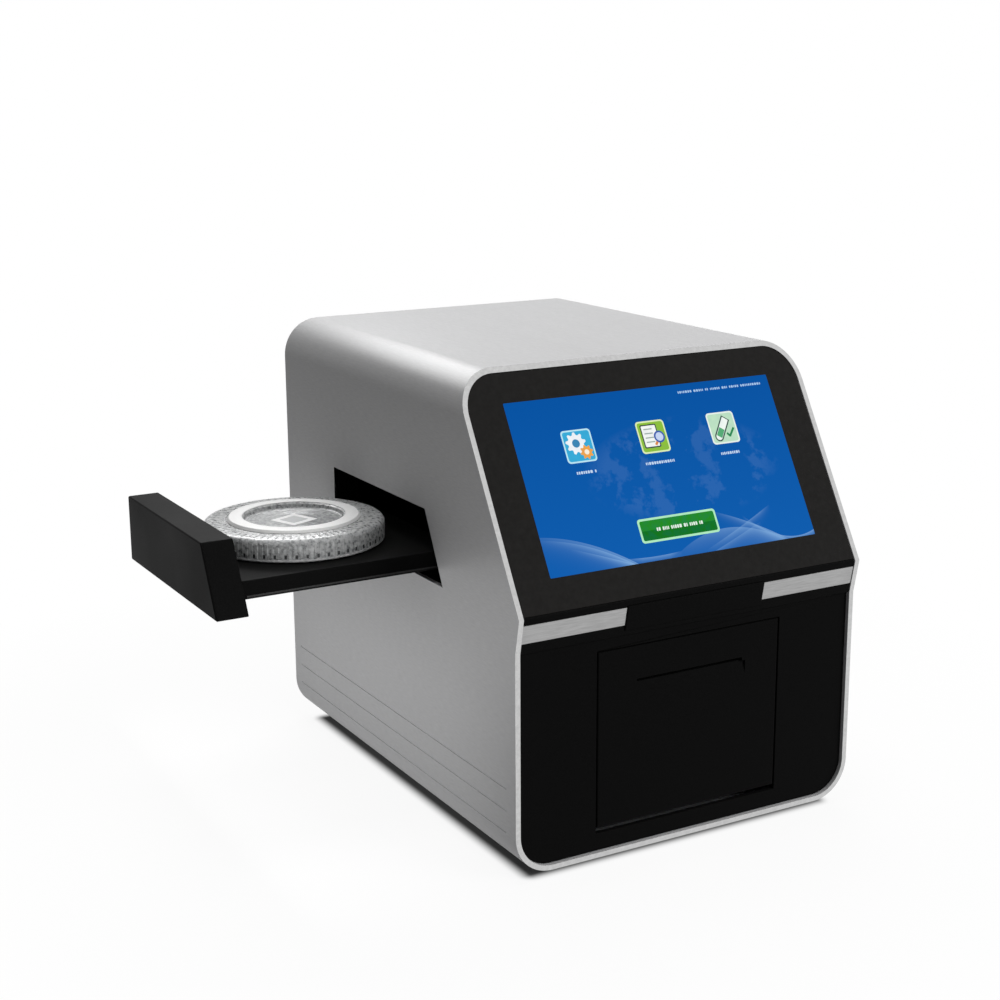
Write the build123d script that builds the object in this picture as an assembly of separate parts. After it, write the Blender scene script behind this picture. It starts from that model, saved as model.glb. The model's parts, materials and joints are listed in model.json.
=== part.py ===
from build123d import *
import math
import os

# Bench-top dry chemistry analyzer, millimetres.
# The origin is the centre of the case's underside. The screen faces -Y, +Z is up,
# and the reagent drawer comes out of the case's -X side. It is drawn open here.

# Case
case_width = 198.0
case_height = 232.0
case_depth = 262.0
case_radius = 20.0
shell_wall = 2.6
seat_gap = 0.15
join = 0.5
overrun = 20.0
groove_heights = (20.0, 31.0, 42.0)
groove_width = 0.8
groove_depth = 0.4
groove_end = 9.0

# Front profile: screen slope, nose and chin
slope_run = 61.2
nose_height = 127.2
chin_height = 109.8
chin_recess = 3.5
chin_undercut = 0.5
rim_step = 0.4
nose_shift_y = 1.05
nose_shift_z = 0.25
glass_thickness = 3.0
glass_low = 1.2
frame_wall = 2.5
skirt_depth = 12.0
skirt_wall = 2.0

# Display
active_width = 154.2
active_height = 85.9
active_low = 17.0
module_border = 5.5
module_thickness = 5.5
display_board_size = (90.0, 55.0)
display_chip = 28.0
bracket_wall = 1.6
bracket_flange = 5.0

# Chin trim
strip_inner = 40.0
strip_low = 5.0
strip_high = 14.4
strip_thickness = 1.2
chin_plate_low = 2.4
chin_plate_high = 15.2
chin_plate_proud = 0.6
trim_gap = 0.1

# Printer door and bay
panel_recess = 2.0
panel_wall = 3.0
door_width = 106.0
door_low = 14.4
door_high = 102.6
door_seam = 0.6
door_foot_gap = 2.9
door_thickness = 3.2
door_edge_round = 0.8
door_rib_inset = 4.0
door_rib_side = 10.0
door_rib_depth = 4.0
pin_radius = 1.2
pin_gap = 0.05
pin_overhang = 0.6
hinge_setback = 5.4
hinge_rise = 4.0
ear_radius = 3.2
ear_width = 3.5
lug_half_height = 2.0
swing_gap = 0.5
slit_width = 62.0
slit_height = 1.8
slit_low = 84.2
scoop_drop = 6.5
scoop_depth = 1.4
scoop_margin = 2.0
bay_wall = 2.0
bay_gap = 0.3
bay_top_drop = 0.6
bay_bottom_drop = 2.4
bay_leg_radius = 4.0
bay_leg_inset = 8.0
roll_radius = 20.0
roll_gap = 1.0
roll_drop = 4.0
roll_width = 57.0
core_radius = 6.5
core_wall = 1.2
spindle_radius = 5.0
platen_radius = 5.0
platen_length = 58.0
platen_shaft_radius = 1.6
platen_drop = 7.1
platen_setback = 7.5
platen_ear_width = 3.0
platen_ear_radius = 4.0
platen_ear_gap = 0.6
head_gap = 0.3
head_thickness = 4.0
head_height = 14.0
sink_thickness = 3.0
sink_overhang = 8.0
sink_drop = 2.0
sink_fin_count = 7
sink_fin_pitch = 8.0
sink_fin_height = 16.0
sink_fin_thickness = 1.6
sink_fin_depth = 6.0

# Drawer port in the left side of the case
port_low = 124.0
port_high = 159.6
port_front = 73.6
port_lean = 18.0
port_back = 198.8
liner_wall = 2.0
liner_depth = 12.0

# Drawer
drawer_travel = 115.0
block_thickness = 16.0
block_gap_low = 0.8
block_gap_top = 1.4
block_gap_side = 1.2
block_round = 0.8
slab_rise = 6.3
slab_thickness = 9.5
slab_front_gap = 9.5
slab_back_gap = 1.5
slab_tail = 54.0
slab_chamfer = 1.2
rail_gap = 0.3
rail_base = 2.4
rail_lip = 4.0
rail_lip_thickness = 2.0
rail_wall = 3.0
rail_inset = 17.0

# Disc and its spindle
disc_block_gap = 4.7
disc_offset = -1.9
disc_radius = 45.0
disc_gap = 1.2
disc_base_height = 4.5
cover_setback = 0.4
cover_rim_height = 2.7
cover_rim_round = 1.6
cover_rim_rise = 1.2
cover_ring_height = 6.8
cover_floor_height = 3.7
cover_shoulder = 1.6
ring_outer = 32.6
ring_width = 7.0
ring_thickness = 0.25
cuvette_count = 30
cuvette_rim = 2.5
cuvette_length = 6.0
cuvette_width = 4.6
cuvette_floor = 1.0
hub_flange_radius = 12.0
hub_flange_thickness = 2.6
hub_boss_radius = 5.0
hub_boss_height = 3.0
hub_boss_gap = 0.3
hub_pocket_gap = 1.0
spindle_shaft_radius = 2.0
spindle_hole_gap = 2.0
spindle_motor_radius = 18.0
spindle_motor_drop = 5.1
spindle_motor_rise = 4.2
spindle_motor_floor = 1.5
running_gap = 0.05

# Rack and pinion
gear_module = 1.0
pressure_angle = 20.0
pinion_teeth = 17
pinion_inset = 35.0
pinion_width = 4.2
pinion_gap = 0.5
pinion_boss_radius = 3.0
pinion_boss_gap = 1.5
rack_drop = 4.9
rack_inset = 6.3
rack_body = 2.75
rack_overrun = 10.0
mesh_backlash = 0.06
mesh_offset = 0.1
gear_shaft_radius = 1.5
drive_motor_radius = 12.0
drive_motor_length = 34.0
motor_socket = 12.0
deck_hole_radius = 5.0

# Chassis
base_thickness = 2.0
base_side_gap = 20.4
base_front_gap = 6.0
block_size = 12.0
rear_recess = 3.0
rear_thickness = 2.0
deck_drop = 9.3
deck_thickness = 2.0
deck_side_gap = 18.4
deck_front_margin = 13.1
deck_back_margin = 10.7
post_inset_x = 8.0
post_inset_y = 7.0
post_radius = 4.0
bridge_rise = 8.4
bridge_thickness = 2.5
riser_radius = 3.0
riser_inset = 4.0
heater_thickness = 3.0
heater_margin = 5.0
detector_x = -34.0
detector_size = (42.0, 44.0, 26.0)
connector_size = 15.0
connector_height = 4.0
light_guide_radius = 5.0
light_guide_length = 22.0
light_guide_rise = 14.0
lamp_size = (36.0, 36.0, 30.0)
lamp_fin_count = 5
lamp_fin_pitch = 6.0
lamp_fin_lead = 0.7
lamp_fin_depth = 6.0

# Electronics
board_thickness = 1.6
board_x = -32.0
board_size = (60.0, 96.0)
board_rear_gap = 37.0
standoff_height = 8.0
standoff_radius = 2.5
supply_size = (60.0, 104.0, 38.0)
supply_x = 34.0
supply_rear_gap = 39.0
supply_slot_count = 10
supply_slot_inset = 10.0
supply_slot_pitch = 9.0
supply_slot_depth = 1.2
capacitor_count = 4
capacitor_pitch = 8.5
capacitor_radius = 3.2
capacitor_height = 9.0

# Rear fittings
fan_size = 60.0
fan_depth = 15.0
fan_x = -38.0
fan_z = 168.0
fan_bore = 28.5
fan_hub_radius = 12.0
fan_mount_radius = 9.0
fan_shaft_radius = 2.0
fan_shaft_length = 8.0
fan_bore_gap = 0.4
fan_arm = 4.0
fan_web = 2.0
fan_gap = 0.6
fan_end_gap = 1.5
blade_count = 7
blade_thickness = 1.4
blade_chord = 9.2
blade_twist = 42.0
vent_slot = 3.0
vent_pitch = 6.0
grille_inset = 1.5
grille_spine = 2.4
louvre_x = 31.5
louvre_length = 27.0
louvre_spine = 4.0
louvre_count = 9
louvre_drop = 4.0
inlet_x = 62.0
inlet_z = 40.0
inlet_width = 27.4
inlet_height = 20.0
inlet_depth = 22.0
inlet_flange = (50.0, 24.0, 2.2)
inlet_wall = 1.6
inlet_cavity = 16.0
inlet_screw_inset = 5.0
pin_size = (2.0, 4.0)
pin_length = 13.0
pin_spread = 7.0
pin_drop = 2.5
earth_rise = 2.0
switch_z = 70.0
switch_width = 19.4
switch_height = 13.0
switch_depth = 14.0
switch_bezel = 1.2
switch_wall = 1.4
switch_well = 8.0
rocker_tilt = 8.0
rocker_pivot_radius = 0.8
rocker_setback = 1.6
rocker_thickness = 4.4
rocker_side_gap = 1.2
rocker_top_gap = 0.4
usb_x = -58.0
usb_z = 52.0
usb_size = (14.6, 15.6, 17.0)
usb_mouth = (12.6, 5.2, 12.0)
usb_tongue = (11.2, 1.6)
usb_tongue_rise = 1.2
usb_tongue_setback = 1.5
lan_x = -30.0
lan_z = 52.0
lan_size = (16.0, 13.6, 19.0)
lan_mouth = (11.8, 6.8)
lan_mouth_drop = 1.2
lan_latch = (6.0, 9.2)
lan_mouth_depth = 13.0
socket_proud = 0.6

# Feet and screws
foot_radius = 9.0
foot_height = 4.0
foot_web = 1.4
foot_well_gap = 0.2
foot_chamfer = 0.8
foot_inset_x = 26.0
foot_inset_y = 30.0
screw_radius = 1.5
screw_head_radius = 2.8
screw_head_height = 1.6
screw_socket_radius = 1.2
screw_socket_depth = 1.0
screw_length = 8.0
rear_screw_inset = 8.0

# Derived places
half_width = case_width / 2
front_y = -case_depth / 2
back_y = case_depth / 2
inner_floor = shell_wall
inner_roof = case_height - shell_wall
inner_half = half_width - shell_wall
base_top = inner_floor + base_thickness
panel_y = front_y + chin_recess + panel_recess
slope_angle = math.atan2(slope_run, case_height - nose_height)
slope_length = math.hypot(slope_run, case_height - nose_height)
chin_length = math.hypot(chin_recess, nose_height - chin_height)
rear_face = back_y - rear_recess
rear_inner = rear_face - rear_thickness
block_outer = -half_width - drawer_travel
block_inner = block_outer + block_thickness
slab_low = port_low + slab_rise
slab_top = slab_low + slab_thickness
slab_front = port_front + slab_front_gap
slab_back = port_back - slab_back_gap
slab_inner_end = -half_width + slab_tail
rail_start = -half_width + rail_inset
rail_end = slab_inner_end + drawer_travel - 2
disc_x = block_inner + disc_block_gap + disc_radius
disc_y = (slab_front + slab_back) / 2 + disc_offset
disc_low = slab_top + disc_gap
disc_split = disc_low + disc_base_height
spindle_motor_low = slab_low - spindle_motor_drop
spindle_motor_top = slab_low + spindle_motor_rise
pinion_x = -half_width + pinion_inset
rack_low = slab_low - rack_drop
rack_back = slab_back - rack_inset
deck_top = slab_low - deck_drop
deck_front = slab_front - deck_front_margin
deck_back = slab_back + deck_back_margin
bridge_low = port_high + bridge_rise
bay_depth = 2 * roll_radius + bay_wall
bay_top = door_high - bay_top_drop
bay_bottom = door_low - bay_bottom_drop
platen_height = slit_low + slit_height / 2 - platen_drop
roll_height = platen_height - head_height / 2 - sink_drop - roll_drop - roll_radius
deck_half_width = inner_half - deck_side_gap
base_half_width = inner_half - base_side_gap

slope_plane = Plane(
    origin=(0, front_y, nose_height),
    x_dir=(1, 0, 0),
    z_dir=(0, -math.cos(slope_angle), math.sin(slope_angle)),
)
chin_plane = Plane(
    origin=(0, front_y + chin_recess, chin_height),
    x_dir=(1, 0, 0),
    z_dir=(0, -(nose_height - chin_height) / chin_length, -chin_recess / chin_length),
)


def block(x0, x1, y0, y1, z0, z1):
    """A box between two corners."""
    size = Box(x1 - x0, y1 - y0, z1 - z0)
    return Pos((x0 + x1) / 2, (y0 + y1) / 2, (z0 + z1) / 2) * size


def rod_x(radius, x0, x1, y, z):
    """A round bar along X."""
    return Pos((x0 + x1) / 2, y, z) * Rot(0, 90, 0) * Cylinder(radius, x1 - x0)


def rod_y(radius, y0, y1, x, z):
    """A round bar along Y."""
    return Pos(x, (y0 + y1) / 2, z) * Rot(90, 0, 0) * Cylinder(radius, y1 - y0)


def rod_z(radius, z0, z1, x, y):
    """A round bar along Z."""
    return Pos(x, y, (z0 + z1) / 2) * Cylinder(radius, z1 - z0)


def rear_block(x, z, width, height, y0, y1):
    """A box through the rear panel, centred on (x, z)."""
    return block(x - width / 2, x + width / 2, y0, y1, z - height / 2, z + height / 2)


def side_prism(points, x0, x1):
    """A prism along X over an outline given as (y, z) points."""
    face = make_face(Polyline([(0, y, z) for y, z in points], close=True))
    return Pos(x0, 0, 0) * extrude(face, amount=x1 - x0, dir=(1, 0, 0))


def sleeve_prism(inset, y0=None, y1=None):
    """The case's rounded rectangle, drawn in by an inset, along Y."""
    y0 = front_y - overrun if y0 is None else y0
    y1 = back_y + overrun if y1 is None else y1
    outline = RectangleRounded(
        case_width - 2 * inset, case_height - 2 * inset, case_radius - inset
    )
    section = Plane.XZ * outline
    body = extrude(section, amount=(y1 - y0) / 2, both=True)
    return Pos(0, (y0 + y1) / 2, case_height / 2) * body


def front_line(panel_step, inset):
    """The side view's front edge, bottom to top, moved inwards by an inset."""
    tilt = math.sin(slope_angle)
    level = math.cos(slope_angle)
    low_y = front_y + chin_recess + panel_step + (inset if panel_step == 0 else 0)
    nose_y = front_y + inset * nose_shift_y
    nose_z = nose_height + inset * nose_shift_z
    rise = case_height + overrun - nose_z
    return [
        (low_y, -overrun),
        (low_y, chin_height - chin_undercut),
        (front_y + chin_recess + inset, chin_height),
        (nose_y, nose_z),
        (nose_y + rise * tilt / level, case_height + overrun),
    ]


def front_band(panel_step, inset):
    """Everything behind the front edge, as a prism across the case."""
    points = front_line(panel_step, inset)
    behind = back_y + 2 * overrun
    points += [(behind, case_height + overrun), (behind, -overrun)]
    return side_prism(points, -case_width, case_width)


def fit_y(distance):
    """A place along Y from its distance behind the nose."""
    return front_y + distance


def port_outline(gap_side, gap_low, gap_top):
    """The drawer port's outline in (y, z), shrunk by its gaps."""
    low = port_low + gap_low
    high = port_high - gap_top
    lean = port_lean / (port_high - port_low)
    return [
        (fit_y(port_front + gap_side + lean * (low - port_low)), low),
        (fit_y(port_front + gap_side + lean * (high - port_low)), high),
        (fit_y(port_back - gap_side), high),
        (fit_y(port_back - gap_side), low),
    ]


def foot_places():
    """Centres of the four feet."""
    x = half_width - foot_inset_x
    return [
        (sx * x, y)
        for sx in (-1, 1)
        for y in (fit_y(foot_inset_y), back_y - foot_inset_y)
    ]


def rear_screw_places():
    """Centres of the rear panel's screws, one for each corner block."""
    z_low = inner_floor + block_size / 2
    z_high = inner_roof - block_size / 2
    x = half_width - case_radius - rear_screw_inset
    return [(sx * x, z) for sx in (-1, 1) for z in (z_low, z_high)]


def save(node, *solids):
    """Writes one node, whose solids stay separate."""
    shapes = [s for item in solids for s in item.solids()]
    part = shapes[0] if len(shapes) == 1 else Compound(children=shapes)
    export_step(part, f"parts/{node}.step")


def make_shell():
    shell = sleeve_prism(0, front_y - overrun, back_y) & front_band(0, 0)
    shell -= sleeve_prism(shell_wall)
    shell -= side_prism(port_outline(0, 0, 0), -half_width - 1, -half_width + shell_wall + 1)
    for z in groove_heights:
        y0 = fit_y(chin_recess + groove_end)
        shell -= block(
            -half_width - 1, -half_width + groove_depth, y0, back_y - groove_end,
            z - groove_width / 2, z + groove_width / 2,
        )
    for x, y in foot_places():
        shell -= rod_z(screw_radius, -1, shell_wall + 1, x, y)
    save("wrap_shell", shell)


def make_front_frame():
    seat_depth = rim_step + glass_thickness
    band = front_band(panel_recess, rim_step) - front_band(
        panel_recess + panel_wall, seat_depth + frame_wall
    )
    outer = sleeve_prism(shell_wall + seat_gap)
    frame = outer & band
    skirt = outer - sleeve_prism(shell_wall + seat_gap + skirt_wall)
    skirt &= front_band(panel_recess + join, rim_step + 2 * join) - front_band(
        panel_recess + skirt_depth, rim_step + skirt_depth
    )
    frame += skirt
    # seat for the glass
    frame -= slope_plane * block(
        -case_width, case_width, glass_low - trim_gap, slope_length + overrun,
        -seat_depth, 2 * overrun,
    )
    # window for the display module
    frame -= slope_plane * block(*module_extent(trim_gap), -seat_depth - overrun, 0)
    # seats for the chin trim
    for side in (-1, 1):
        near = side * (strip_inner - trim_gap)
        far = side * case_width
        frame -= chin_plane * block(
            min(near, far), max(near, far), strip_low - trim_gap, strip_high + trim_gap,
            -rim_step - strip_thickness, overrun,
        )
    frame -= chin_plane * block(
        -strip_inner, strip_inner, chin_plate_low - trim_gap, chin_plate_high + trim_gap,
        -rim_step - strip_thickness, overrun,
    )
    # door opening, with a deeper gap at the foot of the door
    half = door_width / 2 + door_seam
    frame -= block(
        -half, half, front_y - 1, panel_y + overrun, door_low - door_foot_gap, door_high + door_seam
    )
    save("front_frame", frame)


def module_extent(gap):
    """The display module's outline on the slope, with a gap round it."""
    half = active_width / 2 + module_border + gap
    low = active_low - module_border - gap
    high = active_low + active_height + module_border + gap
    return (-half, half, low, high)


def make_display():
    front = -rim_step
    back = front - glass_thickness
    glass = slope_plane * block(
        -case_width, case_width, glass_low, slope_length + overrun, back, front
    )
    glass &= sleeve_prism(shell_wall + seat_gap)
    save("front_glass", glass)
    module_back = back - module_thickness
    save("display_module", slope_plane * block(*module_extent(0), module_back, back))
    x0, x1, y0, y1 = module_extent(bracket_flange)
    frame_back = back - frame_wall
    tray = block(x0, x1, y0, y1, module_back - bracket_wall, frame_back)
    hollow = block(
        x0 + bracket_wall, x1 - bracket_wall, y0 + bracket_wall, y1 - bracket_wall,
        module_back, frame_back + 1,
    )
    save("display_bracket", slope_plane * (tray - hollow))
    board_top = module_back - bracket_wall - standoff_height / 2
    board_low = board_top - board_thickness
    width, height = display_board_size
    middle = active_low + active_height / 2
    y0 = middle - height / 2
    y1 = middle + height / 2
    board = block(-width / 2, width / 2, y0, y1, board_low, board_top)
    inset = 2 * standoff_radius
    for x in (-width / 2 + inset, width / 2 - inset):
        for y in (y0 + inset, y1 - inset):
            board += rod_z(standoff_radius, board_top, module_back - bracket_wall, x, y)
    half = display_chip / 2
    board += block(-half, half, middle - half, middle + half, board_low - 1.4, board_low)
    save("display_board", slope_plane * board)


def make_chin_trim():
    outline = sleeve_prism(shell_wall + seat_gap)
    base = -rim_step - strip_thickness
    for name, side in (("left", -1), ("right", 1)):
        near = side * strip_inner
        far = side * case_width
        strip = block(min(near, far), max(near, far), strip_low, strip_high, base, -rim_step)
        save(f"chin_strip_{name}", (chin_plane * strip) & outline)
    half = strip_inner - trim_gap
    plate = block(
        -half, half, chin_plate_low, chin_plate_high, base, -rim_step + chin_plate_proud
    )
    plate = chamfer(plate.edges().group_by(Axis.Z)[-1], chin_plate_proud / 2)
    save("chin_plate", chin_plane * plate)


def hinge_line():
    """The printer door's hinge axis as (y, z)."""
    return panel_y + hinge_setback, door_low + hinge_rise


def bay_front():
    """The bay's walls start clear of the door's foot as it swings."""
    swing = math.hypot(hinge_setback, hinge_rise)
    return hinge_line()[0] + swing + swing_gap


def bay_inner_back():
    """The inside of the bay's back wall."""
    return bay_front() + bay_depth - bay_wall


def platen_line():
    """The platen roller's axis as (y, z)."""
    return panel_y + door_thickness + platen_setback, platen_height


def ear_x(side):
    """Inner and outer faces of one hinge ear."""
    outer = door_width / 2 - bay_wall - 2 * bay_gap
    inner = outer - ear_width
    return (min(side * inner, side * outer), max(side * inner, side * outer))


def make_door():
    half = door_width / 2
    back = panel_y + door_thickness
    door = block(-half, half, panel_y, back, door_low, door_high)
    door = fillet(door.edges().filter_by(Axis.Z).group_by(Axis.Y)[0], door_edge_round)
    # paper slit with a shallow scoop below it
    door -= block(
        -slit_width / 2, slit_width / 2, panel_y - 1, back + 1, slit_low, slit_low + slit_height
    )
    scoop = side_prism(
        [
            (panel_y - 0.01, slit_low - scoop_drop),
            (panel_y + scoop_depth, slit_low + 0.01),
            (panel_y - 0.01, slit_low + 0.01),
        ],
        -slit_width / 2 - scoop_margin, slit_width / 2 + scoop_margin,
    )
    door -= scoop
    y_hinge, z_hinge = hinge_line()
    for side in (-1, 1):
        x0, x1 = ear_x(side)
        ear = rod_x(ear_radius, x0, x1, y_hinge, z_hinge)
        ear += block(x0, x1, panel_y + 1, y_hinge, z_hinge - ear_radius, z_hinge + ear_radius)
        door += ear
    # stiffening ribs down the back of the plate
    for x in (-half + door_rib_side, half - door_rib_side):
        door += block(
            x - 1, x + 1, back - join, back + door_rib_depth,
            z_hinge + ear_radius + door_rib_inset, door_high - door_rib_inset,
        )
    y_platen, z_platen = platen_line()
    inner = platen_length / 2 + platen_ear_gap
    for side in (-1, 1):
        x0, x1 = sorted((side * inner, side * (inner + platen_ear_width)))
        arm = block(
            x0, x1, back - join, y_platen,
            z_platen - platen_ear_radius, z_platen + platen_ear_radius,
        )
        arm += rod_x(platen_ear_radius, x0, x1, y_platen, z_platen)
        arm -= rod_x(platen_shaft_radius + running_gap, x0 - 1, x1 + 1, y_platen, z_platen)
        door += arm
    for side in (-1, 1):
        x0, x1 = ear_x(side)
        door -= rod_x(pin_radius + pin_gap, x0 - 1, x1 + 1, y_hinge, z_hinge)
    save("printer_door", door)
    platen = rod_x(platen_radius, -platen_length / 2, platen_length / 2, y_platen, z_platen)
    shaft_end = inner + platen_ear_width + 1
    platen -= rod_x(platen_shaft_radius, -case_width, case_width, y_platen, z_platen)
    save("platen_roller", platen)
    save("platen_shaft", rod_x(platen_shaft_radius, -shaft_end, shaft_end, y_platen, z_platen))


def roll_line():
    """The paper roll's axis as (y, z)."""
    return bay_inner_back() - roll_gap - roll_radius, roll_height


def make_printer():
    half = door_width / 2 - bay_gap
    front = bay_front()
    inner = half - bay_wall
    rear = front + bay_depth
    bay = block(-half, half, front, rear, bay_bottom, bay_top)
    bay -= block(
        -inner, inner, front - 1, rear - bay_wall, bay_bottom + bay_wall, bay_top - bay_wall
    )
    y_hinge, z_hinge = hinge_line()
    y_roll, z_roll = roll_line()
    for side in (-1, 1):
        x0, x1 = sorted((side * inner, side * half))
        # a slim lug carries each hinge pin ahead of the side wall
        bay += block(
            x0, x1, y_hinge, front + 1, z_hinge - lug_half_height, z_hinge + lug_half_height
        )
        bay += rod_x(lug_half_height, x0, x1, y_hinge, z_hinge)
        bay -= rod_x(pin_radius, x0 - 1, x1 + 1, y_hinge, z_hinge)
        # the roll's spindle drops into slots that open to the front
        bay -= rod_x(spindle_radius, x0 - 1, x1 + 1, y_roll, z_roll)
        bay -= block(
            x0 - 1, x1 + 1, front - 1, y_roll, z_roll - spindle_radius, z_roll + spindle_radius
        )
        for y in (front + bay_leg_radius + bay_leg_inset, rear - bay_leg_radius):
            x = side * (half - bay_leg_radius - bay_wall)
            bay += rod_z(bay_leg_radius, base_top, bay_bottom + join, x, y)
    save("printer_bay", bay)
    pins = []
    for side in (-1, 1):
        near, far = sorted(abs(x) for x in ear_x(side))
        x0, x1 = sorted((side * half, side * (near - pin_overhang)))
        pins.append(rod_x(pin_radius, x0, x1, y_hinge, z_hinge))
    save("door_hinge_pins", *pins)
    save("paper_spindle", rod_x(spindle_radius, -half, half, y_roll, z_roll))
    half_roll = roll_width / 2
    core = rod_x(core_radius, -half_roll, half_roll, y_roll, z_roll)
    core -= rod_x(core_radius - core_wall, -case_width, case_width, y_roll, z_roll)
    paper = rod_x(roll_radius, -half_roll, half_roll, y_roll, z_roll)
    paper -= rod_x(core_radius, -case_width, case_width, y_roll, z_roll)
    save("roll_core", core)
    save("paper_roll", paper)
    y_platen, z_platen = platen_line()
    head_front = y_platen + platen_radius + head_gap
    head_back = head_front + head_thickness
    head = block(
        -half_roll, half_roll, head_front, head_back,
        z_platen - head_height / 2, z_platen + head_height / 2,
    )
    sink_back = head_back + sink_thickness
    sink_low = z_platen - head_height / 2 - sink_drop
    half_sink = half_roll + sink_overhang
    sink = block(-half_sink, half_sink, head_back, sink_back, sink_low, bay_top - bay_wall)
    half_fin = sink_fin_thickness / 2
    for step in range(-sink_fin_count // 2 + 1, sink_fin_count // 2 + 1):
        x = step * sink_fin_pitch
        sink += block(
            x - half_fin, x + half_fin, sink_back - join, sink_back + sink_fin_depth,
            sink_low + 1, sink_low + 1 + sink_fin_height,
        )
    save("print_head", head)
    save("head_heatsink", sink)


def make_port_liner():
    start = -inner_half
    outer = side_prism(port_outline(-liner_wall, -liner_wall, -liner_wall), start, start + liner_depth)
    liner = outer - side_prism(port_outline(0, 0, 0), start - 1, start + liner_depth + 1)
    save("port_liner", liner)


def make_drawer():
    outline = port_outline(block_gap_side, block_gap_low, block_gap_top)
    front = side_prism(outline, block_outer, block_inner)
    front = fillet(front.edges().group_by(Axis.X)[0], block_round)
    save("drawer_front", front)
    y0 = fit_y(slab_front)
    y1 = fit_y(slab_back)
    slab = block(block_inner, slab_inner_end, y0, y1, slab_low, slab_top)
    slab = chamfer(slab.edges().filter_by(Axis.X).group_by(Axis.Z)[0], slab_chamfer)
    centre = (disc_x, fit_y(disc_y))
    flange_low = disc_low - hub_flange_thickness
    slab -= rod_z(spindle_motor_radius, slab_low - 1, spindle_motor_top, *centre)
    slab -= rod_z(spindle_shaft_radius + spindle_hole_gap, slab_low, slab_top + 1, *centre)
    pocket_floor = flange_low - hub_pocket_gap / 2
    slab -= rod_z(hub_flange_radius + hub_pocket_gap, pocket_floor, slab_top + 1, *centre)
    save("drawer_slab", slab)
    motor = rod_z(spindle_motor_radius, spindle_motor_low, spindle_motor_top, *centre)
    bore_low = spindle_motor_low + spindle_motor_floor
    motor -= rod_z(spindle_shaft_radius + running_gap, bore_low, spindle_motor_top + 1, *centre)
    save("spindle_motor", motor)
    hub = rod_z(hub_flange_radius, flange_low, disc_low, *centre)
    hub += rod_z(hub_boss_radius, disc_low - join, disc_low + hub_boss_height, *centre)
    hub += rod_z(spindle_shaft_radius, bore_low + join, flange_low + join, *centre)
    save("disc_hub", hub)


def revolve_profile(points, centre):
    """A turned solid over (radius, height) points, standing at a centre."""
    face = make_face(Polyline([(r, 0, z) for r, z in points], close=True))
    return Pos(centre[0], centre[1], 0) * revolve(face, Axis.Z)


def make_disc():
    centre = (disc_x, fit_y(disc_y))
    boss_top = disc_low + hub_boss_height + hub_boss_gap
    base = rod_z(disc_radius, disc_low, disc_split, *centre)
    base -= rod_z(hub_boss_radius + running_gap, disc_low - 1, boss_top, *centre)
    cuvette_end = disc_radius - cuvette_rim
    cut = block(
        cuvette_end - cuvette_length, cuvette_end, -cuvette_width / 2, cuvette_width / 2,
        disc_low + cuvette_floor, disc_split + 1,
    )
    for turn in range(cuvette_count):
        base -= Pos(centre[0], centre[1], 0) * Rot(0, 0, turn * 360 / cuvette_count) * cut
    save("disc_base", base)
    ring_top = disc_split + cover_ring_height
    ring_inner = ring_outer - ring_width
    rim_top = disc_split + cover_rim_height
    rim = disc_radius - cover_setback
    floor = disc_split + cover_floor_height
    cover = revolve_profile(
        [
            (0, disc_split), (rim, disc_split), (rim, rim_top),
            (rim - cover_rim_round, rim_top + cover_rim_rise),
            (ring_outer + 1.5, ring_top - cover_shoulder), (ring_outer + 0.6, ring_top),
            (ring_inner - 0.4, ring_top), (ring_inner - cover_shoulder, floor), (0, floor),
        ],
        centre,
    )
    save("disc_cover", cover)
    ring = rod_z(ring_outer, ring_top, ring_top + ring_thickness, *centre)
    ring -= rod_z(ring_inner, ring_top - 1, ring_top + 1, *centre)
    save("disc_label_ring", ring)


def rack_pitch_y():
    """The rack's pitch line."""
    return fit_y(rack_back) - rack_body - 1.25 * gear_module


def make_rack():
    """Straight-sided rack teeth facing the front, a gap centred on the pinion."""
    pitch = math.pi * gear_module
    slope = math.tan(math.radians(pressure_angle))
    tip_y = rack_pitch_y() - gear_module
    root_y = rack_pitch_y() + 1.25 * gear_module
    back = fit_y(rack_back)
    half_tip = pitch / 4 - gear_module * slope
    half_root = pitch / 4 + 1.25 * gear_module * slope
    count = math.ceil((drawer_travel + 2 * rack_overrun) / pitch)
    first_x = pinion_x - drawer_travel - rack_overrun
    start = pinion_x - pitch * (math.floor((pinion_x - first_x) / pitch) + 0.5)
    points = [(start - pitch / 2, back), (start - pitch / 2, root_y)]
    for tooth in range(count):
        x = start + tooth * pitch
        points += [
            (x - half_root, root_y), (x - half_tip, tip_y),
            (x + half_tip, tip_y), (x + half_root, root_y),
        ]
    end = start + (count - 0.5) * pitch
    points += [(end, root_y), (end, back)]
    face = make_face(Polyline([(x, y, rack_low) for x, y in points], close=True))
    save("drawer_rack", extrude(face, amount=slab_low - rack_low, dir=(0, 0, 1)))


def involute_angle(radius, base):
    """The polar angle of an involute where it reaches a radius."""
    roll = math.sqrt(max(0.0, (radius / base) ** 2 - 1))
    return roll - math.atan(roll)


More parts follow.
